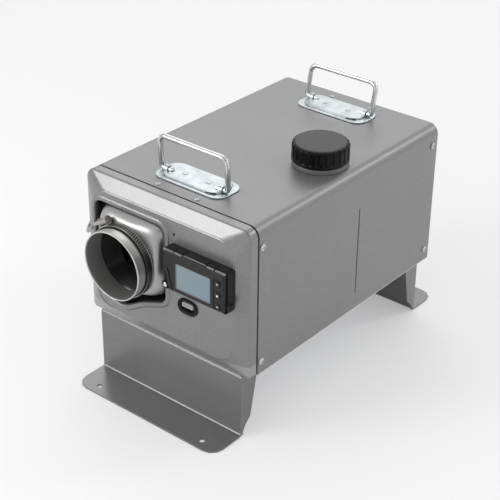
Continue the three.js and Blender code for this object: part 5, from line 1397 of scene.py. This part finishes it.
@dataclass
class Handle:
    """Zinc plate with its pressed middle, rolled loops, rivets and a folding wire bail."""

    name: str
    rear: bool
    front_edge: float = 18.5
    rear_edge: float = 314.0
    width: float = 98.0
    length: float = 42.5
    middle: float = 21.25
    step: float = 4.6
    base: float = 261.3
    pivot: float = 17.0
    pivot_height: float = 266.1
    wire: float = 3.0

    def depth(self, from_edge: float) -> float:
        """Depth of a place, counted from the plate's outer edge."""
        return self.rear_edge - from_edge if self.rear else self.front_edge + from_edge

    def plate(self) -> Piece:
        """Plate with a raised stadium in its middle.

        Returns:
            Rings of rounded rectangles that step up from the plate to the island, grooved under
            the loops and cut by the slot in the island's outer step.
        """
        low, high = sorted((self.depth(0), self.depth(self.length)))
        half = self.width / 2
        z = self.base
        flange = [(0.3, z), (0, z + 0.3), (0, z + 1.2), (0.3, z + 1.5)]
        island = [(-1.1, z + 1.5), (-0.9, z + 0.7), (-0.1, z + 0.7), (0.0, z + 3.0), (0.6, z + 3.5)]
        rings = [outline((-half + i, low + i, half - i, high - i), (14,) * 4, 8) for i, _ in flange]
        rings += [
            outline((-41 + i, low + self.step + i, 41 - i, high - 3.2 - i), (13 - i,) * 4, 8) for i, _ in island
        ]
        levels = np.array([level for _, level in flange + island])[:, None]
        body = Form.rings(along(Axis.Z, np.array(rings), levels))
        front = low + self.step
        slot = Form.drawn(outline((25.5, z + 1.7, 37.5, z + 3.1), (0.65,) * 4, 4), front - 3, front + 4)
        groove = circle((self.depth(self.pivot), self.pivot_height), 3.35, 32)
        forms = [Form.drawn(groove, start, end, Axis.X) for start, end in ((-55, -30.5), (30.5, 55))]
        return Piece(
            f"{self.name}_plate", body, Finish.ZINC, replaces=[f"{self.name}_handle_plate"], edge=0.2,
            smooth=38, work=[(Joining.CUT, form) for form in (*forms, slot)],
        )

    def loops(self) -> Piece:
        """Rolled loops that hold the wire's feet.

        Returns:
            Two bands that run round the wire from the plate and back to it.
        """
        y = self.depth(self.pivot)
        turn = spread(-0.75, np.pi + 0.75, 24)
        ring = np.stack([np.cos(turn), np.sin(turn)], axis=-1)
        band = np.concatenate([ring * 4.6, (ring * 3.4)[::-1]]) + np.array([y, self.pivot_height])
        forms = [Form.drawn(band, start, start + 5.5, Axis.X) for start in (-41.5, 36)]
        return Piece(f"{self.name}_loops", joined(*forms), Finish.ZINC, edge=0.25, smooth=38)

    def slot_painted_shade(self) -> Piece:
        """Dark bar inside the slot in the island's outer step, a painted shade that stands in for the shade in
        the slot's depth.

        Returns:
            A bar behind the slot, a little larger than it.
        """
        low = min(self.depth(0), self.depth(self.length)) + self.step
        z = self.base
        form = Form.drawn(outline((25.3, z + 1.6, 37.7, z + 3.2), (0.7,) * 4, 4), low + 1.4, low + 4.5)
        return Piece(f"{self.name}_slot_painted_shade", form, Finish.BLACK_PLASTIC, edge=0.1)

    def rivets(self) -> Piece:
        """Two domed rivet heads with their pressed seats.

        Returns:
            Profiles turned round each rivet's axis, on top of the island.
        """
        z = self.base + 3.5
        y = self.depth(self.middle)
        head = [
            (0, z - 0.6), (3.4, z - 0.6), (3.4, z - 0.1), (2.9, z + 0.5), (2.0, z + 0.95), (0.9, z + 1.1),
            (0, z + 1.15),
        ]
        seat = [(3.6, z - 0.5), (4.8, z - 0.5), (4.7, z - 0.1), (4.2, z + 0.1), (3.7, z - 0.1)]
        forms = [Form.turned(line, (x, y), Axis.Z, 28) for line in (head, seat) for x in (-17, 17)]
        return Piece(f"{self.name}_rivets", joined(*forms), Finish.ZINC)

    def bail(self) -> Piece:
        """Bright wire bail.

        Returns:
            Wire along a filleted line in the plane that leans outwards by the rest angle.
        """
        line = filleted([(-31.5, 0), (-47.5, 0), (-47.5, 38.5), (47.5, 38.5), (47.5, 0), (31.5, 0)],
                        [4.0, 10.0, 10.0, 4.0], 9)
        step = np.concatenate([[0], np.cumsum(np.linalg.norm(np.diff(line, axis=0), axis=1))])
        lean = math.radians(-12 if self.rear else 3)
        lift = np.array([0, -math.sin(lean), math.cos(lean)])
        path = line[:, :1] * np.array([1, 0, 0]) + line[:, 1:] * lift
        path = path[np.concatenate([[True], np.diff(step) > 0.01])]
        form = Form.wire(path, np.cross([1, 0, 0], lift), self.wire, 24)
        return Piece(
            f"{self.name}_wire", form.moved(0, self.depth(self.pivot), self.pivot_height), Finish.CHROME,
            f"{self.name}_grip", [f"{self.name}_bail"], smooth=60,
        )

    def build(self) -> None:
        """Builds the handle."""
        for piece in (self.plate(), self.loops(), self.slot_painted_shade(), self.rivets(), self.bail()):
            piece.build()


# ---------------------------------------------------------------- filler


@dataclass
class Filler:
    """Collar on the case and the fluted screw cap."""

    x: float = 73.5
    y: float = 162.0
    base: float = 261.3
    cap_base: float = 267.3
    flutes: int = 24
    flute_depth: float = 1.3

    def collar(self) -> Piece:
        """Plastic collar round the tank's neck.

        Returns:
            A rounded wall profile turned round the neck's axis.
        """
        z = self.base
        line = [
            (25.3, z), (31.6, z), (32.0, z + 0.5), (32.0, z + 4.0), (31.4, z + 5.2), (30.2, z + 5.7),
            (25.3, z + 5.7),
        ]
        form = Form.turned(line, (self.x, self.y), Axis.Z, 128)
        return Piece("neck_collar", form, Finish.COLLAR_PLASTIC, replaces=["filler_collar"])

    def cap(self) -> Piece:
        """Fluted cap with a bevelled top, a shallow dish and a smooth skirt.

        Returns:
            Rings whose radius is the profile's less the flutes' depth, the flutes being the
            smooth step of 1.1 cos(n a) + 0.1 and fading out near the skirt and the top.
        """
        z = self.cap_base
        rows = np.array([
            (26.0, 0.0), (32.0, 0.0), (32.5, 0.5), (32.5, 2.8), (32.1, 3.3), (32.3, 4.0), (32.3, 5.8),
            (32.3, 16.4), (32.2, 17.8), (31.8, 19.0), (31.0, 19.9), (30.0, 20.2), (29.3, 19.9), (29.0, 20.2),
            (28.8, 21.1), (28.2, 21.5), (24.0, 21.6), (12.0, 21.6), (2.0, 21.6), (0.0, 21.6),
        ])
        depth = np.array([0, 0, 0, 0, 0, 0.5, 1, 1, 1, 1, 0.9, 0.5, 0, 0, 0, 0, 0, 0, 0, 0]) * self.flute_depth
        angle = spread(0, 2 * np.pi, self.flutes * 12 + 1)[:-1]
        wave = eased(np.zeros_like(angle), np.ones_like(angle), np.cos(self.flutes * angle) * 1.1 + 0.1)
        reach = rows[:, :1] - depth[:, None] * wave[None, :]
        side = np.stack([self.x + reach * np.cos(angle), self.y + reach * np.sin(angle)], axis=-1)
        top = Form.rings(along(Axis.Z, side, z + np.broadcast_to(rows[:, 1:], reach.shape)), caps=False)
        inside = [(26.0, 0.0), (25.6, 0.0), (25.6, 17.6), (0.0, 17.6)]
        well = Form.rings(along(
            Axis.Z,
            np.array([[self.x, self.y]]) + np.array([r for r, _ in inside])[:, None, None]
            * np.stack([np.cos(angle), np.sin(angle)], axis=-1)[None],
            z + np.array([level for _, level in inside])[:, None],
        ), caps=False)
        return Piece("screw_cap", joined(top, well), Finish.CAP_PLASTIC, "cap", ["fuel_cap"], smooth=42)

    def build(self) -> None:
        """Builds the collar and the cap."""
        self.collar().build()
        self.cap().build()


# ---------------------------------------------------------------- controller


@dataclass
class Controller:
    """Controller in its screwed bracket, and the port below it."""

    left: float = 19.0
    right: float = 102.0
    bottom: float = 169.0
    top: float = 215.7
    front: float = -34.8
    seat: float = -20.1
    key_x: float = 92.8
    keys: tuple[float, float, float] = (202.2, 188.4, 175.2)
    key_well: float = 3.7
    gaps: tuple[float, ...] = (30.6, 42.7, 74.8, 87.0)
    clip_runs: tuple[tuple[float, float, float], ...] = (
        (16.4, 29.8, -33.6), (31.4, 42.0, -33.6), (43.4, 73.8, -32.2), (75.8, 86.0, -33.6),
        (88.0, 101.4, -33.6),
    )

    def shell(self) -> Piece:
        """Bracket round the controller: a shallow tray with clip gaps and screwed ears, in a darker plastic that
        is painted shade.

        Returns:
            A filleted wall with a cut in it at each clip, joined to two rounded ears.
        """
        box = (self.left - 4.6, self.bottom - 2.4, self.right + 1.6, self.top + 1.6)
        outer = Form.drawn(outline(box, (5,) * 4, 6), -30.6, self.seat)
        inner = outline((self.left - 2, self.bottom - 1, self.right + 0.5, self.top + 0.5), (3.6,) * 4, 6)
        ears = [Form.drawn(circle((x, z), 4.8, 28), start, end)
                for x, z, start, end in ((17.6, 172.0, -32.8, -23.6), (103.4, 175.8, -30.6, -26.4))]
        gaps = [
            Form.drawn(outline((x - 0.6, 214, x + 0.6, 222), (0.2,) * 4, 2), -40, -23.5) for x in self.gaps
        ]
        grooves = [
            Form.drawn(outline((-29.6, z - 0.7, -22.0, z + 0.7), (0.3,) * 4, 2), 103.9, 110, Axis.X)
            for z in range(180, 205, 4)
        ]
        cuts = [Form.drawn(inner, -40, -23.4), *gaps, *grooves]
        return Piece(
            "control_bracket", outer, Finish.CONTROL_PAINTED_SHADE, replaces=["controller_bracket"], edge=0.35, smooth=35,
            work=[*((Joining.ADD, ear) for ear in ears), *((Joining.CUT, cut) for cut in cuts)],
        )

    def body(self) -> Piece:
        """Controller body: a bevelled block with the display's window and the key column.

        Returns:
            Rings of rounded rectangles stepping in to the face, then cut.
        """
        rows = [(-23.7, 0.4), (-24.1, 0.0), (-32.6, 0.0), (-33.9, 0.5), (-34.5, 1.2), (-34.8, 2.4)]
        rings = np.array([
            outline(
                (self.left - 1.6 + i, self.bottom + i, self.right - 0.6 - i, self.top - i),
                (4 - i * 0.4,) * 4, 6,
            ) for _, i in rows
        ])
        form = Form.rings(along(Axis.Y, rings, np.array([level for level, _ in rows])[:, None]))
        window = outline((34.4, 174.2, 82.6, 204.9), (1.6,) * 4, 5)
        column = outline((86.6, 171.5, 99.0, 208.5), (3.2,) * 4, 6)
        groove = np.array([(22.4, 196), (23.8, 196), (31.6, 168), (29.6, 168)])
        second = np.array([(18.0, 190), (19.2, 190), (25.8, 168), (24.2, 168)])
        corner = np.array([(10.0, 190), (16.4, 190), (24.4, 168), (24.4, 160), (10.0, 160)])
        cuts = [(window, -33.1), (column, -34.0), (groove, -33.4), (second, -33.6), (corner, -31.6)]
        cuts += [(circle((self.key_x, z), self.key_well, 32), -29.8) for z in self.keys]
        return Piece(
            "control_body", form, Finish.CONTROL_PLASTIC, replaces=["controller_body"], edge=0.25, smooth=35,
            work=[(Joining.CUT, Form.drawn(shape, -40, depth)) for shape, depth in cuts],
        )

    def clip_highlights(self) -> Piece:
        """Pale strips along the upper edge, painted highlight on the clips' top front edges.

        Returns:
            A strip 2.4 mm deep for each (start, end, front) of the runs, the long one set back.
        """
        low, high = self.top - 1.1, self.top + 0.6
        forms = [
            Form.drawn(outline((start, front, end, front + 2.4), (0.6,) * 4, 3), low, high, Axis.Z)
            for start, end, front in self.clip_runs
        ]
        return Piece("clip_edge_highlights", joined(*forms), Finish.CONTROL_HIGHLIGHT, edge=0.2)

    def column(self) -> Piece:
        """Dark inlay under the keys.

        Returns:
            A thin plate with a well for each key.
        """
        shape = outline((86.9, 171.8, 98.7, 208.2), (3.0,) * 4, 6)
        cuts = [
            (Joining.CUT, Form.drawn(circle((self.key_x, z), self.key_well, 32), -40, -30)) for z in self.keys
        ]
        return Piece("key_inlay", Form.drawn(shape, -34.35, -33.9), Finish.BLACK_PLASTIC, edge=0.1, work=cuts)

    def bezel(self) -> Piece:
        """Pale edge round the display, painted highlight on the display's frame.

        Returns:
            A rounded frame 0.6 mm wide.
        """
        outer = outline((34.5, 174.3, 82.5, 204.8), (1.5,) * 4, 5)
        inner = outline((35.1, 174.9, 81.9, 204.2), (1.2,) * 4, 5)
        return Piece("display_edge", Form.drawn(outer, -34.75, -33.3), Finish.CONTROL_HIGHLIGHT, edge=0.1,
                     work=[(Joining.CUT, Form.drawn(inner, -36, -32))])

    def lens(self) -> Piece:
        """Display pane with a softened edge.

        Returns:
            A thin plate inside the display's edge.
        """
        shape = outline((35.15, 174.95, 81.85, 204.15), (1.2,) * 4, 5)
        form = Form.drawn(shape, -34.4, -33.4)
        return Piece("display_pane", form, Finish.SCREEN, replaces=["display_lens"], edge=0.12)

    def key(self, name: str, z: float, sides: int, turn: float) -> tuple[Piece, Piece]:
        """Domed key and its small light mark.

        Args:
            name: Name of the key.
            z: Height of the key.
            sides: Sides of the mark.
            turn: Turn of the mark in degrees.

        Returns:
            The key, a dome that falls back by 0.35 (r / R)^2 mm, and its mark.
        """
        reach = np.array([0.0, 1.0, 2.0, 2.8, 3.2, 3.4])
        level = -35.6 + 0.35 * (reach / 3.4) ** 2
        level[-1] += 0.35
        line = [*zip(reach, level), (3.4, -31.2), (0, -31.2)]
        dome = Form.turned(line, (self.key_x, z), Axis.Y, 40)
        angle = np.radians(turn) + spread(0, 2 * np.pi, sides + 1)[:-1]
        mark = np.stack([self.key_x + 1.15 * np.cos(angle), z + 1.15 * np.sin(angle)], axis=-1)
        light = Form.drawn(mark, -35.85, -35.3)
        body = f"{name.removeprefix('button_')}_key"
        return (Piece(f"{name}_dome", dome, Finish.KEY_PLASTIC, body, [name]),
                Piece(f"{name}_mark", light, Finish.KEY_MARK, body, edge=0.05))

    def port(self) -> tuple[Piece, ...]:
        """Oval grommet with a socket block sunk in it.

        Returns:
            The ring, whose section is a line of (inset, depth), the block and the back behind it.
        """
        x, z = 38.0, 145.4
        rows = [
            (0.0, -20.1), (0.0, -21.4), (0.5, -22.1), (1.4, -22.1), (2.4, -21.2), (4.6, -19.0),
            (4.6, -12.0), (2.6, -12.0), (2.6, -20.1),
        ]
        rings = np.array([
            outline((x - 13.8 + i, z - 9.4 + i, x + 13.8 - i, z + 9.4 - i), (9.3 - i,) * 4, 10) for i, _ in rows
        ])
        form = Form.rings(along(Axis.Y, rings, np.array([level for _, level in rows])[:, None]), closed=True)
        grommet = Piece("port_ring", form, Finish.RUBBER, replaces=["port_grommet"], smooth=50)
        block = Form.drawn(outline((x - 8.4, z - 1.6, x + 7.2, z + 3.8), (1.4,) * 4, 5), -20.2, -12.0)
        back = Form.drawn(outline((x - 9.4, z - 5.0, x + 9.4, z + 5.0), (4.8,) * 4, 8), -17.5, -12.2)
        slot = Form.drawn(outline((x - 6.6, z + 0.5, x + 5.4, z + 1.9), (0.5,) * 4, 3), -21, -18.6)
        socket = Piece("port_socket", block, Finish.PORT_PLASTIC, replaces=["port_block"], edge=0.3,
                       work=[(Joining.CUT, slot)])
        return grommet, socket, Piece("port_back", back, Finish.BLACK_PLASTIC, edge=0.2)

    def build(self) -> None:
        """Builds the controller, its keys and the port."""
        for piece in (
            self.shell(), self.body(), self.clip_highlights(), self.column(), self.bezel(), self.lens(), *self.port(),
        ):
            piece.build()
        marks = (("button_up", 3, 90.0), ("button_set", 16, 0.0), ("button_down", 3, -90.0))
        for (name, sides, turn), z in zip(marks, self.keys):
            for piece in self.key(name, z, sides, turn):
                piece.build()


# ---------------------------------------------------------------- fasteners


@dataclass
class Fasteners:
    """Pan-head screws with a cross recess, on the sides, the top and the bracket."""

    side: float = 117.5
    top: float = 261.0
    depths: tuple[float, float] = (7.0, 326.0)
    heights: tuple[float, float] = (97.0, 237.0)

    def head(self, radius: float = 4.0, height: float = 2.3) -> bpy.types.Mesh:
        """One head that points along +Z, with its seat at the origin.

        Args:
            radius: Radius of the head.
            height: Height of the head.

        Returns:
            Mesh of a quarter-ellipse dome on a straight edge 0.55 mm high, with a cross cut in it.
        """
        share = spread(0, 1, 8)
        rise = 0.55 + (height - 0.55) * np.cos(share * np.pi / 2)
        dome = np.stack([radius * np.sin(share * np.pi / 2), rise], axis=-1)
        line = [*dome.tolist(), [radius, 0.0], [0.0, 0.0]]
        obj = mesh_object("head_master", Form.turned(line, (0, 0), Axis.Z, 28).moved(0, MIDDLE, 0))
        arms = [outline((-x, -y, x, y), (0.1,) * 4, 2) for x, y in ((2.0, 0.45), (0.45, 2.0))]
        worked(obj, *(
            (Joining.CUT, Form.drawn(arm, height - 0.9, height + 1, Axis.Z).moved(0, MIDDLE, 0)) for arm in arms
        ))
        mesh = obj.data
        bpy.data.objects.remove(obj)
        return mesh

    def copies(self, name: str, mesh: bpy.types.Mesh, places: Sequence[Sequence[float]], facing: Array,
               finish: Finish, replaced: Sequence[str]) -> None:
        """Sets copies of a head in one piece.

        Args:
            name: Name of the piece.
            mesh: The head.
            places: Seats of the heads in mm.
            facing: Rows onto which the head's axes go.
            finish: Finish of the heads.
            replaced: Nodes that the heads stand for.
        """
        flat = np.zeros(len(mesh.vertices) * 3)
        mesh.vertices.foreach_get("co", flat)
        points = flat.reshape(-1, 3) / MILLIMETRE
        faces = [list(face.vertices) for face in mesh.polygons]
        forms = [Form(points, faces).mapped(facing, np.asarray(place, float)) for place in places]
        Piece(name, joined(*forms), finish, replaces=replaced, smooth=40).build()

    def build(self) -> None:
        """Builds every group of screws."""
        big = self.head()
        seats = [(y, z) for y in self.depths for z in self.heights]
        right = np.array([[0, 1, 0], [0, 0, 1], [1, 0, 0]])
        left = np.array([[0, -1, 0], [0, 0, 1], [-1, 0, 0]])
        reach = self.side + 0.3
        self.copies("side_screws_right", big, [(reach, y, z) for y, z in seats], right, Finish.ZINC,
                    [f"case_screw_right_{index}" for index in range(1, 5)])
        self.copies("side_screws_left", big, [(-reach, y, z) for y, z in seats], left, Finish.ZINC,
                    [f"case_screw_left_{index}" for index in range(1, 5)])
        small = self.head(3.0, 1.7)
        tops = [(x, y, self.top) for x in (-28, 28) for y in (8, 322)]
        self.copies("top_screws", small, tops, np.eye(3), Finish.ZINC, [])
        front = np.array([[1, 0, 0], [0, 0, 1], [0, -1, 0]])
        self.copies("bracket_screw_left", small, [(17.6, -32.8, 172.0)], front, Finish.CHROME, [])
        self.copies("bracket_screw_right", small, [(103.8, -30.6, 175.8)], front, Finish.CONTROL_PLASTIC, [])


# ---------------------------------------------------------------- refined solids


@dataclass
class RefinedSheets:
    """Copies of the plain solids with merged corners, softened edges and their finish."""

    edges: dict[str, float] = field(default_factory=lambda: {
        "front_foot": 0.5, "rear_foot": 0.5, "rear_panel": 0.3, "base_tray": 0.3, "cable_gland": 0.3,
        "exhaust_stub": 0.2, "air_intake_stub": 0.2, "heat_exchanger": 0.2, "fan_impeller": 0.2,
    })
    smooth: float = 38.0

    def refine(self, node: str, edge: float, finish: Finish) -> None:
        """Replaces one solid by its softened copy.

        Args:
            node: Name of the solid.
            edge: Rounding of its edges in mm.
            finish: Finish of the copy.
        """
        source = frame["nodes"][node]
        mesh = source.data.copy()
        mesh.name = f"{node}_sheet"
        working = bmesh.new()
        working.from_mesh(mesh)
        bmesh.ops.remove_doubles(working, verts=working.verts, dist=5e-6)
        bmesh.ops.dissolve_limit(
            working, angle_limit=math.radians(1.0), verts=working.verts, edges=working.edges)
        working.to_mesh(mesh)
        working.free()
        obj = bpy.data.objects.new(f"{node}_sheet", mesh)
        bpy.context.scene.collection.objects.link(obj)
        mesh.materials.clear()
        mesh.materials.append(PALETTE.of(finish))
        soften(obj, edge, self.smooth)
        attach(obj, source["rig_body"])
        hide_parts(node)
        LOG.info("%s refined: %d faces", node, len(mesh.polygons))

    def build(self, finishes: dict[str, Finish]) -> None:
        """Refines each listed solid.

        Args:
            finishes: Finish of every node.
        """
        for node, edge in self.edges.items():
            self.refine(node, edge, finishes[node])


def node_finishes() -> dict[str, Finish]:
    """Finds the finish of every node.

    Returns:
        Finish by node, from the record's material slots, with the feet in a paint of their own.
    """
    found = {part["node"]: SLOT_FINISHES[part["material_slot"]] for part in frame["record"]["subparts"]}
    found["front_foot"] = found["rear_foot"] = Finish.FOOT_PAINT
    return found


def dress_nodes(finishes: dict[str, Finish]) -> None:
    """Gives every solid that stays its detailed finish.

    Args:
        finishes: Finish of every node.
    """
    for node, obj in frame["nodes"].items():
        obj.data.materials.clear()
        obj.data.materials.append(PALETTE.of(finishes[node]))


# ---------------------------------------------------------------- studio


@dataclass
class Studio:
    """Pale floor, soft lamps, an even sky and the camera of the photograph."""

    key: float = 11.2
    side: float = 3.6
    sky: float = 0.83
    backdrop: float = 0.885
    glow: float = 0.057
    view: tuple[float, float, float] = (39.17, 29.69, 0.66)
    eye: tuple[float, float, float] = (0.8431, -1.0647, 0.8976)
    lens: float = 94.64

    def floor(self) -> None:
        """Lays a wide pale floor that shows the object's shadow."""
        angle = spread(0, 2 * np.pi, 65)[:-1]
        reach = np.array([0.0, 1.0, 6.0])[:, None]
        side = np.stack([reach * np.cos(angle), reach * np.sin(angle)], axis=-1) * 1000
        points = along(Axis.Z, side, np.full(side.shape[:-1], -0.2)) + np.array([0, MIDDLE, 0])
        obj = mesh_object("studio_floor", Form.rings(points, caps=False))
        s = Shader("studio_floor")
        rays = s.node("ShaderNodeLightPath")
        outputs = rays.source.node.outputs
        camera, glossy = Socket(s, outputs["Is Camera Ray"]), Socket(s, outputs["Is Glossy Ray"])
        cloud = s.noise(s.place(), 3.0, 2.0)
        pale = s.mix(cloud * 0.2, (0.83, 0.83, 0.84), (0.81, 0.81, 0.82))
        lit = s.mix(glossy, (0.7, 0.7, 0.7), pale)
        shown = s.mix(cloud * 0.1, (0.53,) * 3, (0.51,) * 3)
        faint = (self.glow, self.glow, self.glow * 1.01)
        lifted = s.mix(s.parts(s.place())[1].step(-0.5, 0.6), (0.395, 0.395, 0.4), (0.282, 0.282, 0.287))
        s.finish({
            "Base Color": s.mix(camera, lit, shown),
            "Roughness": 0.85,
            "Specular IOR Level": 0.1,
            "Emission Color": s.mix(camera, faint, lifted),
            "Emission Strength": 1.0,
        })
        obj.data.materials.append(s.material)
        obj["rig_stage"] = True

    def world(self) -> None:
        """Sets an even sky, paler where the camera looks at it."""
        world = bpy.data.worlds.new("studio")
        bpy.context.scene.world = world
        world.use_nodes = True
        tree = world.node_tree
        tree.nodes.clear()
        path = tree.nodes.new("ShaderNodeLightPath")
        sky = tree.nodes.new("ShaderNodeBackground")
        sky.inputs["Color"].default_value = (1.0, 1.0, 1.0, 1.0)
        sky.inputs["Strength"].default_value = self.sky
        seen = tree.nodes.new("ShaderNodeBackground")
        seen.inputs["Color"].default_value = (self.backdrop, self.backdrop, self.backdrop * 1.005, 1.0)
        choice = tree.nodes.new("ShaderNodeMixShader")
        output = tree.nodes.new("ShaderNodeOutputWorld")
        tree.links.new(path.outputs["Is Camera Ray"], choice.inputs[0])
        tree.links.new(sky.outputs[0], choice.inputs[1])
        tree.links.new(seen.outputs[0], choice.inputs[2])
        tree.links.new(choice.outputs[0], output.inputs["Surface"])

    def lamp(self, name: str, place: Sequence[float], size: float, power: float) -> None:
        """Hangs one square lamp that looks at the heater.

        Args:
            name: Name of the lamp.
            place: Its place in metres.
            size: Its side in metres.
            power: Its power in watts.
        """
        data = bpy.data.lights.new(name, "AREA")
        data.shape = "SQUARE"
        data.size = size
        data.energy = power
        obj = bpy.data.objects.new(name, data)
        bpy.context.scene.collection.objects.link(obj)
        aim = Vector((0, 0, 0.15)) - Vector(place)
        obj.matrix_world = Matrix.Translation(place) @ aim.to_track_quat("-Z", "Y").to_matrix().to_4x4()

    def flag(
        self, name: str, place: Sequence[float], size: tuple[float, float], turn: tuple[float, float],
    ) -> None:
        """Sets a dark card that bright metal reflects as a thin line.

        Args:
            name: Name of the card.
            place: Its middle in metres.
            size: Its width and height in metres.
            turn: Its tilt about X and its turn about Z in degrees.
        """
        wide, tall = size[0] * 500, size[1] * 500
        card = Form.drawn(outline((-wide, -tall, wide, tall), (20,) * 4, 4), -4, 4, Axis.Z)
        tilt = Matrix.Rotation(math.radians(turn[1]), 3, "Z") @ Matrix.Rotation(math.radians(turn[0]), 3, "X")
        points = card.points @ np.array(tilt.transposed()) + np.array(place) * 1000 + np.array([0, MIDDLE, 0])
        obj = mesh_object(name, Form(points, card.faces))
        s = Shader(name)
        weave = s.noise(s.place(), 400.0, 2.0)
        s.finish({"Base Color": s.mix(weave, (0.008,) * 3, (0.02,) * 3), "Roughness": 0.9 + weave * 0.05})
        obj.data.materials.append(s.material)
        obj.visible_camera = obj.visible_diffuse = obj.visible_shadow = False
        obj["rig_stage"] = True

    def camera(self) -> None:
        """Places the camera as the photograph's was, with its small roll."""
        around, up, roll = (math.radians(value) for value in self.view)
        back = Vector((math.sin(around) * math.cos(up), -math.cos(around) * math.cos(up), math.sin(up)))
        right = Vector((0, 0, 1)).cross(back).normalized()
        above = back.cross(right)
        turned_right = right * math.cos(roll) + above * math.sin(roll)
        turned_above = above * math.cos(roll) - right * math.sin(roll)
        axes = Matrix((turned_right, turned_above, back)).transposed().to_4x4()
        data = bpy.data.cameras.new("photo_camera")
        data.lens = self.lens
        data.sensor_width = 36.0
        obj = bpy.data.objects.new("photo_camera", data)
        bpy.context.scene.collection.objects.link(obj)
        obj.matrix_world = Matrix.Translation(self.eye) @ axes
        bpy.context.scene.camera = obj

    def build(self) -> None:
        """Builds the studio."""
        bpy.context.scene.view_settings.view_transform = "Standard"
        self.floor()
        self.world()
        self.lamp("top_lamp", (-0.9, 1.1, 1.7), 1.6, self.key * 0.9)
        self.lamp("front_lamp", (-1.25, -2.0, 0.95), 1.1, self.side * 6.0)
        self.lamp("right_lamp", (1.9, 0.3, 1.0), 1.2, self.side * 0.8)
        self.lamp("edge_lamp", (1.15, 1.7, 1.55), 0.5, self.side * 2.0)
        self.flag("front_flag", (0.62, -0.85, 0.02), (0.5, 0.55), (0.0, 39.0))
        self.flag("left_flag", (-0.95, -1.35, 0.2), (1.5, 0.34), (90.0, -35.0))
        self.flag("corner_flag", (0.65, -0.81, 1.1), (0.6, 0.45), (45.0, 41.0))
        self.camera()


def save_bounds(before: object) -> None:
    """Args:
        before: The box taken straight after loading.
    """
    def plain(value: object) -> object:
        """Nested lists of numbers."""
        return float(value) if isinstance(value, (int, float, np.floating)) else [plain(item) for item in value]

    {"solids": plain(before), "visual": plain(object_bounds())}


def main(bounds: object) -> None:
    """Builds the heater and the studio in order.

    Args:
        bounds: The solids' box.
    """
    finishes = node_finishes()
    dress_nodes(finishes)
    RefinedSheets().build(finishes)
    for assembly in (
        Enclosure(), DuctOutlet(), Handle("front", False), Handle("rear", True), Filler(), Controller(),
        Fasteners(),
    ):
        assembly.build()
        LOG.info("%s built", type(assembly).__name__)
    Studio().build()
    save_bounds(bounds)


if __name__ == "__main__":
    logging.basicConfig(level=logging.INFO)
    main(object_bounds())
